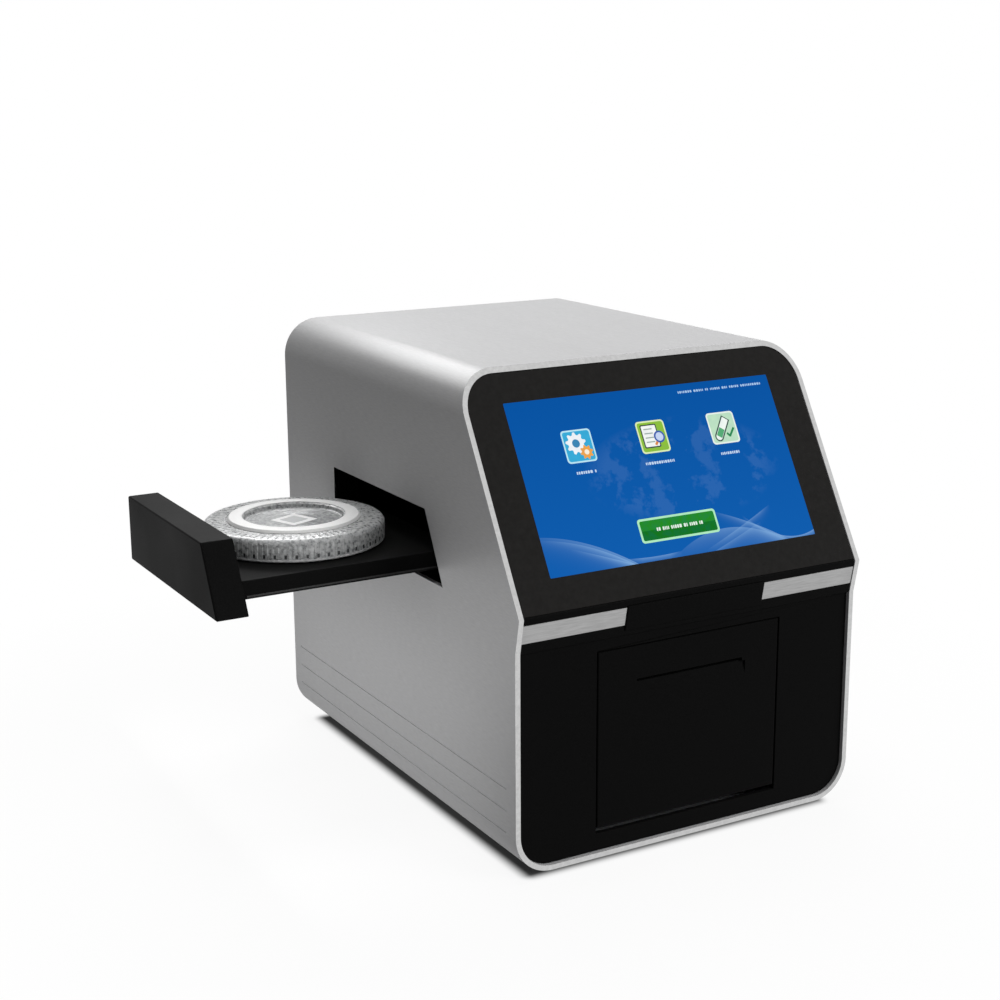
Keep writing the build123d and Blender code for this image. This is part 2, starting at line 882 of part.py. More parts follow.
def make_pinion():
    pitch_radius = gear_module * pinion_teeth / 2
    base = pitch_radius * math.cos(math.radians(pressure_angle))
    tip = pitch_radius + gear_module
    root = pitch_radius - 1.25 * gear_module
    centre_y = rack_pitch_y() - pitch_radius - mesh_offset
    half_tooth = math.pi / (2 * pinion_teeth) - mesh_backlash / pitch_radius
    at_pitch = involute_angle(pitch_radius, base)
    flank = [base + (tip - base) * step / 4 for step in range(5)]
    points = []
    for tooth in range(pinion_teeth):
        middle = math.pi / 2 + tooth * 2 * math.pi / pinion_teeth
        for side in (-1, 1):
            radii = flank if side == -1 else flank[::-1]
            rise = [(root, half_tooth + at_pitch)] if side == -1 else []
            for radius in radii:
                rise.append((radius, half_tooth + at_pitch - involute_angle(radius, base)))
            if side == 1:
                rise.append((root, half_tooth + at_pitch))
            for radius, offset in rise:
                angle = middle + side * offset
                points.append((radius * math.cos(angle), radius * math.sin(angle)))
    centre = (pinion_x, centre_y)
    high = slab_low - pinion_gap
    low = high - pinion_width
    face = make_face(Polyline([(x, y, 0) for x, y in points], close=True))
    gear = Pos(pinion_x, centre_y, low) * extrude(face, amount=pinion_width, dir=(0, 0, 1))
    gear += rod_z(pinion_boss_radius, deck_top + pinion_boss_gap, low + join, *centre)
    gear -= rod_z(gear_shaft_radius, 0, case_height, *centre)
    save("drive_pinion", gear)
    motor_top = deck_top - deck_thickness
    socket = motor_top - motor_socket
    motor = rod_z(drive_motor_radius, motor_top - drive_motor_length, motor_top, *centre)
    motor -= rod_z(gear_shaft_radius + running_gap, socket, motor_top + 1, *centre)
    save("drive_motor", motor)
    save("pinion_shaft", rod_z(gear_shaft_radius, socket + 1, high, *centre))
    return centre_y


def make_rails():
    y_front = fit_y(slab_front)
    y_back = fit_y(slab_back)
    for name, edge, side in (("front", y_front, -1), ("rear", y_back, 1)):
        outer = edge + side * (rail_gap + rail_wall)
        wall = edge + side * rail_gap
        lip = edge - side * rail_lip
        top = slab_top + rail_gap + rail_lip_thickness
        rail = block(rail_start, rail_end, *sorted((outer, wall)), deck_top, top)
        rail += block(
            rail_start, rail_end, *sorted((outer, lip)),
            slab_low - rail_gap - rail_base, slab_low - rail_gap,
        )
        rail += block(
            rail_start, rail_end, *sorted((outer, lip)), slab_top + rail_gap, top
        )
        save(f"drawer_rail_{name}", rail)


def make_deck(pinion_y):
    y0 = fit_y(deck_front)
    y1 = fit_y(deck_back)
    deck = block(-deck_half_width, deck_half_width, y0, y1, deck_top - deck_thickness, deck_top)
    deck -= rod_z(deck_hole_radius, 0, case_height, pinion_x, pinion_y)
    save("drive_deck", deck)
    places = [
        (sx * (deck_half_width - post_inset_x), y)
        for sx in (-1, 1)
        for y in (y0 + post_inset_y, y1 - post_inset_y)
    ]
    posts = [rod_z(post_radius, base_top, deck_top - deck_thickness, x, y) for x, y in places]
    save("deck_posts", *posts)
    risers = [
        rod_z(riser_radius, deck_top, bridge_low, sx * (deck_half_width - riser_inset), y)
        for sx in (-1, 1)
        for y in (y0 + riser_inset, y1 - riser_inset)
    ]
    save("bridge_posts", *risers)
    bridge = block(
        -deck_half_width, deck_half_width, y0, y1, bridge_low, bridge_low + bridge_thickness
    )
    save("optics_bridge", bridge)
    closed_x = disc_x + drawer_travel
    y_disc = fit_y(disc_y)
    half = disc_radius + heater_margin
    heater = block(
        closed_x - disc_radius + 1, closed_x + half, y_disc - half, y_disc + half,
        bridge_low - heater_thickness, bridge_low,
    )
    save("heater_plate", heater)
    make_optics(y_disc, bridge_low + bridge_thickness)


def make_optics(y, low):
    """Detector, light guide and lamp in a row along X, standing on the bridge."""
    width, length, height = detector_size
    x1 = detector_x + width
    detector = block(detector_x, x1, y - length / 2, y + length / 2, low, low + height)
    half = connector_size / 2
    x = detector_x + width / 2
    top = low + height
    detector += block(x - half, x + half, y - half, y + half, top, top + connector_height)
    save("detector_block", detector)
    x0 = x1 + light_guide_length
    save("light_guide", rod_x(light_guide_radius, x1, x0, y, low + light_guide_rise))
    width, length, height = lamp_size
    lamp = block(x0, x0 + width, y - length / 2, y + length / 2, low, low + height)
    # cooling fins down the lamp's front
    for step in range(lamp_fin_count):
        x = x0 + lamp_fin_pitch * (step + lamp_fin_lead)
        lamp -= block(
            x, x + lamp_fin_pitch / 2, y - length / 2 - 1, y - length / 2 + lamp_fin_depth,
            low + lamp_fin_depth, low + height + 1,
        )
    save("lamp_housing", lamp)


def make_chassis():
    y0 = fit_y(chin_recess + panel_recess + panel_wall + skirt_depth + base_front_gap)
    y1 = rear_inner - block_size - 1
    plate = block(-base_half_width, base_half_width, y0, y1, inner_floor, base_top)
    for x, y in foot_places():
        plate -= rod_z(screw_radius, 0, 20, x, y)
    save("base_plate", plate)
    blocks = []
    for x, z in rear_screw_places():
        piece = rear_block(x, z, block_size, block_size, rear_inner - block_size, rear_inner)
        blocks.append(piece - rod_y(screw_radius, rear_inner - screw_length - 1, rear_inner + 1, x, z))
    save("rear_corner_blocks", *blocks)


def make_rear_panel():
    panel = sleeve_prism(shell_wall + seat_gap, rear_inner, rear_face)
    cut = (rear_inner - 1, rear_face + 1)
    for x, z in rear_screw_places():
        panel -= rod_y(screw_radius, *cut, x, z)
    # fan grille: two columns of slots that stop at a circle
    rows = int(fan_bore // vent_pitch)
    for row in range(-rows, rows + 1):
        offset = row * vent_pitch
        reach = math.sqrt(max(0.0, (fan_bore - grille_inset) ** 2 - offset ** 2))
        length = reach - grille_spine / 2
        if length > vent_slot:
            for side in (-1, 1):
                x = fan_x + side * (reach + grille_spine / 2) / 2
                panel -= rear_block(x, fan_z + offset, length, vent_slot, *cut)
    # two columns of plain louvre slots beside the fan
    for row in range(louvre_count):
        z = fan_z + fan_bore - louvre_drop - row * vent_pitch
        for x in (louvre_x, louvre_x + louvre_length + louvre_spine):
            panel -= rear_block(x, z, louvre_length, vent_slot, *cut)
    gap = 2 * trim_gap
    panel -= rear_block(inlet_x, inlet_z, inlet_width + gap, inlet_height + gap, *cut)
    panel -= rear_block(inlet_x, switch_z, switch_width + gap, switch_height + gap, *cut)
    panel -= rear_block(usb_x, usb_z, usb_size[0] + gap, usb_size[1] + gap, *cut)
    panel -= rear_block(lan_x, lan_z, lan_size[0] + gap, lan_size[1] + gap, *cut)
    save("rear_panel", panel)
    heads = []
    head_top = rear_face + screw_head_height
    for x, z in rear_screw_places():
        head = rod_y(screw_head_radius, rear_face, head_top, x, z)
        socket = extrude(RegularPolygon(screw_socket_radius, 6), amount=screw_socket_depth, both=True)
        head -= Pos(x, head_top, z) * Rot(90, 0, 0) * socket
        heads.append(head + rod_y(screw_radius, rear_inner - screw_length, rear_face + join, x, z))
    save("rear_screws", *heads)


def make_fan():
    back = rear_inner
    front = back - fan_depth
    half = fan_size / 2
    frame = block(fan_x - half, fan_x + half, front, back, fan_z - half, fan_z + half)
    frame -= rod_y(fan_bore, front - 1, back + 1, fan_x, fan_z)
    half_arm = fan_arm / 2
    for turn in range(3):
        arm = block(-half_arm, half_arm, front, front + fan_web, fan_mount_radius / 2, fan_bore + 1)
        frame += Pos(fan_x, 0, fan_z) * Rot(0, turn * 120, 0) * arm
    frame += rod_y(fan_mount_radius, front, front + fan_web, fan_x, fan_z)
    frame += rod_y(fan_shaft_radius, front, front + fan_shaft_length, fan_x, fan_z)
    save("fan_frame", frame)
    rotor_front = front + fan_web + fan_gap
    rotor_back = back - fan_end_gap
    rotor = rod_y(fan_hub_radius, rotor_front, rotor_back, fan_x, fan_z)
    half_thick = blade_thickness / 2
    half_chord = blade_chord / 2
    tip = fan_bore - fan_end_gap
    blade = block(-half_thick, half_thick, -half_chord, half_chord, fan_hub_radius - 1, tip)
    blade = Pos(0, (rotor_front + rotor_back) / 2, 0) * Rot(0, 0, blade_twist) * blade
    for turn in range(blade_count):
        rotor += Pos(fan_x, 0, fan_z) * Rot(0, turn * 360 / blade_count, 0) * blade
    bore_end = front + fan_shaft_length + fan_bore_gap
    rotor -= rod_y(fan_shaft_radius + running_gap, rotor_front - 1, bore_end, fan_x, fan_z)
    save("fan_rotor", rotor)


def make_inlet():
    flange_width, flange_height, flange_thickness = inlet_flange
    flange_top = rear_face + flange_thickness
    cavity = rear_face - inlet_cavity
    body = rear_block(
        inlet_x, inlet_z, inlet_width, inlet_height, rear_face - inlet_depth, rear_face
    )
    body += rear_block(inlet_x, inlet_z, flange_width, flange_height, rear_face, flange_top)
    body -= rear_block(
        inlet_x, inlet_z, inlet_width - 2 * inlet_wall, inlet_height - 2 * inlet_wall,
        cavity, flange_top + 1,
    )
    save("power_inlet", body)
    pins = []
    for dx, dz in ((-pin_spread, -pin_drop), (pin_spread, -pin_drop), (0, earth_rise)):
        pins.append(rear_block(inlet_x + dx, inlet_z + dz, *pin_size, cavity, cavity + pin_length))
    save("inlet_pins", *pins)
    head_top = flange_top + screw_head_height
    reach = flange_width / 2 - inlet_screw_inset
    screws = [
        rod_y(screw_head_radius, flange_top, head_top, inlet_x + side * reach, inlet_z)
        for side in (-1, 1)
    ]
    save("inlet_screws", *screws)


def make_switch():
    bezel = 2 * switch_bezel
    housing = rear_block(
        inlet_x, switch_z, switch_width, switch_height, rear_face - switch_depth, rear_face
    )
    housing += rear_block(
        inlet_x, switch_z, switch_width + bezel, switch_height + bezel,
        rear_face, rear_face + switch_bezel,
    )
    housing -= rear_block(
        inlet_x, switch_z, switch_width - 2 * switch_wall, switch_height - 2 * switch_wall,
        rear_face - switch_well, rear_face + switch_bezel + 1,
    )
    pivot_y = rear_face - rocker_setback
    stub = switch_height / 2 - switch_wall / 2 - trim_gap
    housing -= rod_z(
        rocker_pivot_radius + running_gap, switch_z - stub - trim_gap, switch_z + stub + trim_gap,
        inlet_x, pivot_y,
    )
    save("switch_housing", housing)
    half_width_gap = switch_wall + rocker_side_gap
    half_height_gap = switch_wall + rocker_top_gap
    rocker = rear_block(
        0, 0, switch_width - 2 * half_width_gap, switch_height - 2 * half_height_gap,
        -rocker_thickness / 2, rocker_thickness / 2,
    )
    rocker += rod_z(rocker_pivot_radius, -stub, stub, 0, 0)
    save("power_rocker", Pos(inlet_x, pivot_y, switch_z) * Rot(0, 0, rocker_tilt) * rocker)


def make_data_sockets():
    width, height, depth = usb_size
    back = rear_face - depth
    lip = rear_face + socket_proud
    sockets = rear_block(usb_x, usb_z, width, height, back, lip)
    for level in (-1, 1):
        z = usb_z + level * height / 4
        sockets -= rear_block(
            usb_x, z, usb_mouth[0], usb_mouth[1], rear_face - usb_mouth[2], rear_face + 1
        )
        sockets += rear_block(
            usb_x, z + usb_tongue_rise, usb_tongue[0], usb_tongue[1],
            rear_face - usb_mouth[2] - 1, rear_face - usb_tongue_setback,
        )
    save("usb_sockets", sockets)
    width, height, depth = lan_size
    socket = rear_block(lan_x, lan_z, width, height, rear_face - depth, lip)
    floor = rear_face - lan_mouth_depth
    socket -= rear_block(lan_x, lan_z - lan_mouth_drop, *lan_mouth, floor, rear_face + 1)
    socket -= rear_block(lan_x, lan_z, *lan_latch, floor, rear_face + 1)
    save("lan_socket", socket)


def make_electronics():
    board_low = base_top + standoff_height
    top = board_low + board_thickness
    width, length = board_size
    x0 = board_x - width / 2
    x1 = board_x + width / 2
    y1 = rear_inner - board_rear_gap
    y0 = y1 - length
    board = block(x0, x1, y0, y1, board_low, top)
    # processor, memory, two connectors and a row of capacitors
    board += block(x0 + 20, x0 + 38, y0 + 20, y0 + 38, top, top + 1.6)
    board += block(x0 + 44, x0 + 56, y0 + 16, y0 + 30, top, top + 1.2)
    board += block(x0 + 10, x0 + 34, y0 + 50, y0 + 56, top, top + 6)
    board += block(x0 + 38, x0 + 56, y0 + 60, y0 + 66, top, top + 8)
    for step in range(capacitor_count):
        x = x0 + 26 + step * capacitor_pitch
        board += rod_z(capacitor_radius, top, top + capacitor_height, x, y0 + 44)
    save("mainboard", board)
    inset = 2 * standoff_radius
    corners = [(x, y) for x in (x0 + inset, x1 - inset) for y in (y0 + inset, y1 - inset)]
    standoffs = [rod_z(standoff_radius, base_top, board_low, x, y) for x, y in corners]
    save("board_standoffs", *standoffs)
    width, length, height = supply_size
    x0 = supply_x - width / 2
    x1 = supply_x + width / 2
    y1 = rear_inner - supply_rear_gap
    y0 = y1 - length
    supply_top = base_top + height
    supply = block(x0, x1, y0, y1, base_top, supply_top)
    for step in range(supply_slot_count):
        y = y0 + supply_slot_inset + step * supply_slot_pitch
        supply -= block(
            x0 + supply_slot_inset, x1 - supply_slot_inset, y, y + vent_slot,
            supply_top - supply_slot_depth, supply_top + 1,
        )
    save("power_supply", supply)


def make_feet():
    feet = []
    screws = []
    well = screw_head_radius + foot_well_gap
    for x, y in foot_places():
        foot = revolve_profile(
            [
                (screw_radius, -foot_web), (well, -foot_web), (well, -foot_height),
                (foot_radius - foot_chamfer, -foot_height),
                (foot_radius, -foot_height + foot_chamfer), (foot_radius, 0), (screw_radius, 0),
            ],
            (x, y),
        )
        feet.append(foot)
        screw = rod_z(screw_head_radius, -foot_web - screw_head_height, -foot_web, x, y)
        screw += rod_z(screw_radius, -foot_web - screw_head_height / 2, base_top, x, y)
        screws.append(screw)
    save("feet", *feet)
    save("foot_screws", *screws)


os.makedirs("parts", exist_ok=True)
make_shell()
make_front_frame()
make_display()
make_chin_trim()
make_door()
make_printer()
make_port_liner()
make_drawer()
make_disc()
make_rack()
pinion_y = make_pinion()
make_rails()
make_deck(pinion_y)
make_chassis()
make_rear_panel()
make_fan()
make_inlet()
make_switch()
make_data_sockets()
make_electronics()
make_feet()
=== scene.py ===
import json
import math
import random

import bmesh
import bpy
from mathutils import Matrix, Vector


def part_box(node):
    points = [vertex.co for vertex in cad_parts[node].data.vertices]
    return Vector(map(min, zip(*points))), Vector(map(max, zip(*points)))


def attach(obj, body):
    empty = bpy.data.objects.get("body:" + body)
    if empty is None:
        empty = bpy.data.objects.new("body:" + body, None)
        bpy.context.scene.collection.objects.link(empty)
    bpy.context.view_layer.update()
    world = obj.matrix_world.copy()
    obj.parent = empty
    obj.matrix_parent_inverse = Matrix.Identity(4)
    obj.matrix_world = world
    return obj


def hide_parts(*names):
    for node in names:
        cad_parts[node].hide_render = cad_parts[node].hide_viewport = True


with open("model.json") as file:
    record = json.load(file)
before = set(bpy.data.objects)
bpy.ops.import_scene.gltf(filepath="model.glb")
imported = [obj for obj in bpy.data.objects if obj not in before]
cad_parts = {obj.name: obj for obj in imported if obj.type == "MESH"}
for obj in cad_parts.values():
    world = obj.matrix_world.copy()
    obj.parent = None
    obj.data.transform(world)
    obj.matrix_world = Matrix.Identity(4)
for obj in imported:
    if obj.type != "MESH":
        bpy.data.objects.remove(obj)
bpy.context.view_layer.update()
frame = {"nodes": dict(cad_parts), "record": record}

# Bench-top chemistry analyzer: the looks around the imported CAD, in metres.
# The screen faces -Y, +Z is up, and the reagent drawer stands out along -X.

mm = 0.001
nodes = frame["nodes"]
record = frame["record"]
bodyOf = {node: body for body, group in record["behaviour"]["bodies"].items() for node in group}
slotOf = {part["node"]: part["material_slot"] for part in record["subparts"]}
noiseLow, noiseHigh = 0.3, 0.7  # nearly all of a noise texture lies between these
print("frame loaded,", len(nodes), "nodes")


def linear(code):
    # sRGB hex to Blender's linear colour
    parts = [int(code[i:i + 2], 16) / 255 for i in (1, 3, 5)]
    return [v / 12.92 if v <= 0.04045 else ((v + 0.055) / 1.055) ** 2.4 for v in parts] + [1.0]


def setInputs(tree, node, links):
    # links maps an input's name or number to a value, another node or one of its outputs
    for key, source in links.items():
        if isinstance(source, bpy.types.Node):
            source = source.outputs[0]
        if isinstance(source, bpy.types.NodeSocket):
            tree.links.new(source, node.inputs[key])
        else:
            node.inputs[key].default_value = source


def addNode(tree, kind, links=None, **settings):
    node = tree.nodes.new(kind)
    for key, value in settings.items():
        setattr(node, key, value)
    setInputs(tree, node, links or {})
    return node


def newMaterial(name):
    material = bpy.data.materials.new(name)
    material.use_nodes = True
    tree = material.node_tree
    tree.nodes.clear()
    shader = addNode(tree, "ShaderNodeBsdfPrincipled")
    output = addNode(tree, "ShaderNodeOutputMaterial", {"Surface": shader})
    coords = addNode(tree, "ShaderNodeTexCoord").outputs["Object"]
    return material, tree, shader, coords, output


# What a finish has where its row says nothing. drift is the size in millimetres of the patches
# in its gloss, and relief is the height of its grain as a share of the grain's size.
usual = {
    "detail": 3.0, "fineness": 0.6, "drift": 45, "bump": 0.3, "relief": 0.3, "metallic": 0.0,
    "specular": 0.5,
}


def surface(name, look):
    # a finish from two close colours, a fine grain, and gloss that drifts over the surface
    look = {**usual, **look}
    material, tree, shader, coords, _ = newMaterial(name)
    if "streak" in look:  # grain drawn out along one axis, as a belt or brush leaves it
        coords = addNode(tree, "ShaderNodeMapping", {0: coords, "Scale": look["streak"]})
    grain = addNode(tree, "ShaderNodeTexNoise", {
        "Vector": coords, "Scale": 1 / (look["grain"] * mm), "Detail": look["detail"],
        "Roughness": look["fineness"],
    })
    drift = addNode(tree, "ShaderNodeTexNoise", {
        "Vector": coords, "Scale": 1 / (look["drift"] * mm), "Detail": 2.0,
    })
    contrast = addNode(tree, "ShaderNodeMapRange", {0: grain, 1: noiseLow, 2: noiseHigh})
    colour = addNode(tree, "ShaderNodeMix", {
        "Factor": contrast, 6: linear(look["dark"]), 7: linear(look["light"]),
    }, data_type="RGBA").outputs[2]
    low, high = look["roughness"]
    gloss = addNode(tree, "ShaderNodeMapRange", {0: drift, 1: noiseLow, 2: noiseHigh, 3: low, 4: high})
    bump = addNode(tree, "ShaderNodeBump", {
        "Height": grain, "Strength": look["bump"], "Distance": look["grain"] * look["relief"] * mm,
    })
    setInputs(tree, shader, {
        "Base Color": colour, "Roughness": gloss, "Normal": bump, "Metallic": look["metallic"],
        "Specular IOR Level": look["specular"],
    })
    return material


# Each finish is named for the real material and how it was made. grain is in millimetres;
# grains under 0.5 mm are drawn at about that size, the least that shows in the render.
looks = {
    # bead-blasted and clear-anodised sheet: soft even glow, very fine sparkle
    "anodised_aluminium": {"dark": "#bcbcbd", "light": "#c8c8c9", "grain": 0.45, "roughness": (0.36, 0.44),
                           "metallic": 0.02, "bump": 0.08, "specular": 0.12, "streak": (1.0, 0.08, 1.0)},
    # diamond-cut edge of the same sheet: bare bright metal
    "cut_aluminium": {"dark": "#bebebe", "light": "#cccccc", "grain": 2.0, "roughness": (0.14, 0.2),
                      "metallic": 1.0, "bump": 0.02},
    # injection-moulded ABS with a fine spark-eroded texture
    "black_abs": {"dark": "#0f0f0f", "light": "#171717", "grain": 0.6, "roughness": (0.34, 0.44),
                  "bump": 0.2, "specular": 0.012},
    # float glass printed black from behind: deep and almost a mirror
    "printed_glass": {"dark": "#1d1c1b", "light": "#232221", "grain": 3.0, "roughness": (0.05, 0.09),
                      "bump": 0.02, "specular": 0.07},
    # liquid crystal module's bezel, bent tinplate
    "display_panel": {"dark": "#50565c", "light": "#666c72", "grain": 1.0, "roughness": (0.3, 0.4),
                      "metallic": 0.8},
    # stainless strip, line-brushed across the case
    "silver_trim": {"dark": "#9e9e9e", "light": "#b2b2b2", "grain": 0.6, "roughness": (0.30, 0.38),
                    "metallic": 0.9, "streak": (0.06, 1.0, 1.0), "bump": 0.12},
    # zinc-plated pressed steel: greyish, faint spangle
    "zinc_steel": {"dark": "#83878a", "light": "#9fa3a6", "grain": 1.1, "roughness": (0.34, 0.5),
                   "metallic": 0.8, "detail": 1.5, "bump": 0.12},
    # centreless-ground steel pins: bright, with turning marks round the axis
    "turned_steel": {"dark": "#a9aaac", "light": "#c9cacc", "grain": 0.5, "roughness": (0.18, 0.28),
                     "metallic": 1.0, "streak": (1.0, 0.1, 0.1)},
    # black zinc screws
    "screw_steel": {"dark": "#2c2d2f", "light": "#434447", "grain": 0.5, "roughness": (0.28, 0.4),
                    "metallic": 0.9},
    # machined cast aluminium: dull with cutter marks
    "cast_aluminium": {"dark": "#74777a", "light": "#94979a", "grain": 0.8, "roughness": (0.35, 0.5),
                       "metallic": 0.85, "streak": (0.15, 1.0, 1.0)},
    # powder-coated steel sheet: orange-peel texture
    "painted_steel": {"dark": "#1c1d1e", "light": "#2a2b2c", "grain": 0.9, "roughness": (0.5, 0.62),
                      "bump": 0.5, "specular": 0.35},
    # glass-fibre board under green solder mask
    "circuit_board": {"dark": "#0b3a1f", "light": "#14552f", "grain": 1.4, "roughness": (0.3, 0.4),
                      "bump": 0.15},
    # turned brass
    "brass": {"dark": "#b08a45", "light": "#d1aa5d", "grain": 0.5, "roughness": (0.2, 0.3),
              "metallic": 1.0},
    # deep-drawn motor cans
    "motor_steel": {"dark": "#7f8183", "light": "#a2a4a6", "grain": 0.6, "roughness": (0.25, 0.36),
                    "metallic": 0.95, "streak": (1.0, 1.0, 0.1)},
    # natural acetal: milky, waxy moulding
    "acetal": {"dark": "#c9c8c2", "light": "#dcdbd5", "grain": 1.0, "roughness": (0.32, 0.42),
               "bump": 0.1},
    # coated paper label
    "white_label": {"dark": "#f3f3f2", "light": "#fcfcfb", "grain": 0.7, "roughness": (0.5, 0.62),
                    "bump": 0.12},
    # wound grey board
    "card_core": {"dark": "#8a7152", "light": "#a58a67", "grain": 0.9, "roughness": (0.7, 0.85),
                  "bump": 0.4},
    # glass-filled nylon: black, dull, slightly mottled
    "black_nylon": {"dark": "#111112", "light": "#1d1d1e", "grain": 0.7, "roughness": (0.45, 0.6),
                    "bump": 0.3, "specular": 0.2},
    # moulded nitrile rubber
    "rubber": {"dark": "#121212", "light": "#1b1b1b", "grain": 0.7, "roughness": (0.65, 0.8),
               "bump": 0.35, "specular": 0.3},
    # ground alumina
    "ceramic_head": {"dark": "#c4c1b4", "light": "#d9d6ca", "grain": 0.6, "roughness": (0.3, 0.4),
                     "bump": 0.1},
}
finishes = {slot: surface(slot, look) for slot, look in looks.items()}


mottleLow, mottleHigh = 0.38, 0.62  # a narrow part of the noise: clear patches and milky ones


def clearPlastic(name, look):
    # moulded polystyrene: mostly clear, milky where the tool's texture left it
    material, tree, shader, coords, _ = newMaterial(name)
    cells = addNode(tree, "ShaderNodeTexVoronoi", {"Vector": coords, "Scale": 1 / (look["cell"] * mm)})
    cloud = addNode(tree, "ShaderNodeTexNoise", {
        "Vector": coords, "Scale": 1 / (look["cloud"] * mm), "Detail": 4.0,
    })
    mottle = addNode(tree, "ShaderNodeMapRange", {0: cloud, 1: mottleLow, 2: mottleHigh})
    milk = addNode(tree, "ShaderNodeMix", {
        "Factor": mottle, 6: linear(look["dark"]), 7: linear(look["light"]),
    }, data_type="RGBA").outputs[2]
    low, high = look["haze"]
    haze = addNode(tree, "ShaderNodeMapRange", {0: cloud, 1: noiseLow, 2: noiseHigh, 3: low, 4: high})
    bump = addNode(tree, "ShaderNodeBump", {
        "Height": cells, "Strength": look["bump"], "Distance": look["depth"] * mm,
    })
    setInputs(tree, shader, {
        "Base Color": milk, "Roughness": haze, "Normal": bump, "Transmission Weight": look["clear"],
        "IOR": 1.5,
    })
    return material


discPlastic = clearPlastic("clearPolystyrene", {
    "dark": "#a6a8a9", "light": "#e3e4e4", "cell": 1.6, "cloud": 1.8, "haze": (0.24, 0.38),
    "bump": 0.32, "depth": 0.4, "clear": 0.3,
})
# the base plate's polished lip: nearly colourless, so it shines along the bottom
rimPlastic = clearPlastic("polishedPolystyrene", {
    "dark": "#d8dadb", "light": "#fdfdfd", "cell": 1.2, "cloud": 2.0, "haze": (0.08, 0.16),
    "bump": 0.25, "depth": 0.3, "clear": 0.25,
})
finishes["clear_disc"] = discPlastic

for name, node in nodes.items():
    node.data.materials.clear()
    node.data.materials.append(finishes[slotOf[name]])
print("finishes made:", len(finishes))


def placePiece(piece, finish, body, stands=()):
    # finish is None where the piece's own tree has set it
    if finish is not None:
        piece.data.materials.clear()
        piece.data.materials.append(finish)
    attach(piece, body)
    if stands:
        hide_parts(*stands)


def linkMesh(name, mesh):
    piece = bpy.data.objects.new(name, mesh)
    bpy.context.scene.collection.objects.link(piece)
    return piece


def workedMesh(name, work):
    # the worked shape as a mesh, all faces outwards
    bmesh.ops.recalc_face_normals(work, faces=work.faces)
    mesh = bpy.data.meshes.new(name)
    work.to_mesh(mesh)
    work.free()
    return mesh


def frozen(piece):
    # the modifiers' result as a plain mesh
    bpy.context.view_layer.update()
    graph = bpy.context.evaluated_depsgraph_get()
    mesh = bpy.data.meshes.new_from_object(piece.evaluated_get(graph), depsgraph=graph)
    old = piece.data
    piece.modifiers.clear()
    piece.data = mesh
    bpy.data.meshes.remove(old)
    mesh.name = piece.name
    return piece


# degrees and millimetres; faces that look further to the front than cutFacing are the cut edge
edgeLook = {"merge": 0.002, "flat": 0.3, "sharp": 32, "rings": 2, "cutFacing": -0.35}


def smoothMesh(mesh, angle=edgeLook["sharp"]):
    mesh.polygons.foreach_set("use_smooth", [True] * len(mesh.polygons))
    mesh.set_sharp_from_angle(angle=math.radians(angle))


def softened(node, name, edge, cut):
    # a copy of a CAD node with its sharp edges rounded as moulding or deburring leaves them
    mesh = nodes[node].data.copy()
    work = bmesh.new()
    work.from_mesh(mesh)
    bmesh.ops.remove_doubles(work, verts=work.verts, dist=edgeLook["merge"] * mm)
    bmesh.ops.dissolve_limit(
        work, angle_limit=math.radians(edgeLook["flat"]), verts=work.verts, edges=work.edges
    )
    work.to_mesh(mesh)
    work.free()
    piece = linkMesh(name, mesh)
    bevel = piece.modifiers.new("edge", "BEVEL")
    bevel.width = edge * mm
    bevel.segments = edgeLook["rings"]
    bevel.limit_method = "ANGLE"
    bevel.angle_limit = math.radians(edgeLook["sharp"])
    bevel.miter_outer = "MITER_ARC"
    frozen(piece)
    smoothMesh(piece.data)
    flat = piece.modifiers.new("flat", "WEIGHTED_NORMAL")  # broad faces keep their own direction
    flat.keep_sharp = True
    frozen(piece)
    placePiece(piece, finishes[slotOf[node]], bodyOf[node], [node])
    if cut:
        piece.data.materials.append(finishes[cut])
        for face in piece.data.polygons:
            if face.normal.y < edgeLook["cutFacing"]:
                face.material_index = 1


# each visible part's piece, and the rounding of its edges in millimetres
roundedParts = {
    "wrap_shell": ("shellSleeve", 0.5), "front_frame": ("frontMoulding", 0.5),
    "front_glass": ("glassPlate", 0.4), "chin_strip_left": ("chinStripLeft", 0.25),
    "chin_strip_right": ("chinStripRight", 0.25), "chin_plate": ("chinPlate", 0.2),
    "printer_door": ("printerDoor", 0.4), "drawer_front": ("drawerFront", 0.6),
    "drawer_slab": ("drawerSlab", 0.5), "port_liner": ("portLiner", 0.3),
    "printer_bay": ("printerBay", 0.3), "power_inlet": ("powerInlet", 0.4),
    "switch_housing": ("switchHousing", 0.3), "power_rocker": ("powerRocker", 0.4),
}
for node, (name, edge) in roundedParts.items():
    softened(node, name, edge, "cut_aluminium" if node == "wrap_shell" else None)
print("rounded parts:", len(roundedParts))


# A plane for what lies on the screen: x across, y up the slope, z out of the glass
slope = {"front": -131.0, "nose": 127.2, "run": 61.2, "rise": 104.8, "glassFace": -0.4}
lean = math.atan2(slope["run"], slope["rise"])
slopeMatrix = Matrix((
    (1, 0, 0, 0),
    (0, math.sin(lean), -math.cos(lean), slope["front"] * mm),
    (0, math.cos(lean), math.sin(lean), slope["nose"] * mm),
    (0, 0, 0, 1),
))


def roundedLoop(x, y, width, height, radius, steps=6):
    points = []
    corners = ((1, 1, 0), (-1, 1, 90), (-1, -1, 180), (1, -1, 270))
    for sx, sy, start in corners:
        cx = x + sx * (width / 2 - radius)
        cy = y + sy * (height / 2 - radius)
        for step in range(steps + 1):
            turn = math.radians(start + 90 * step / steps)
            points.append((cx + radius * math.cos(turn), cy + radius * math.sin(turn)))
    return points


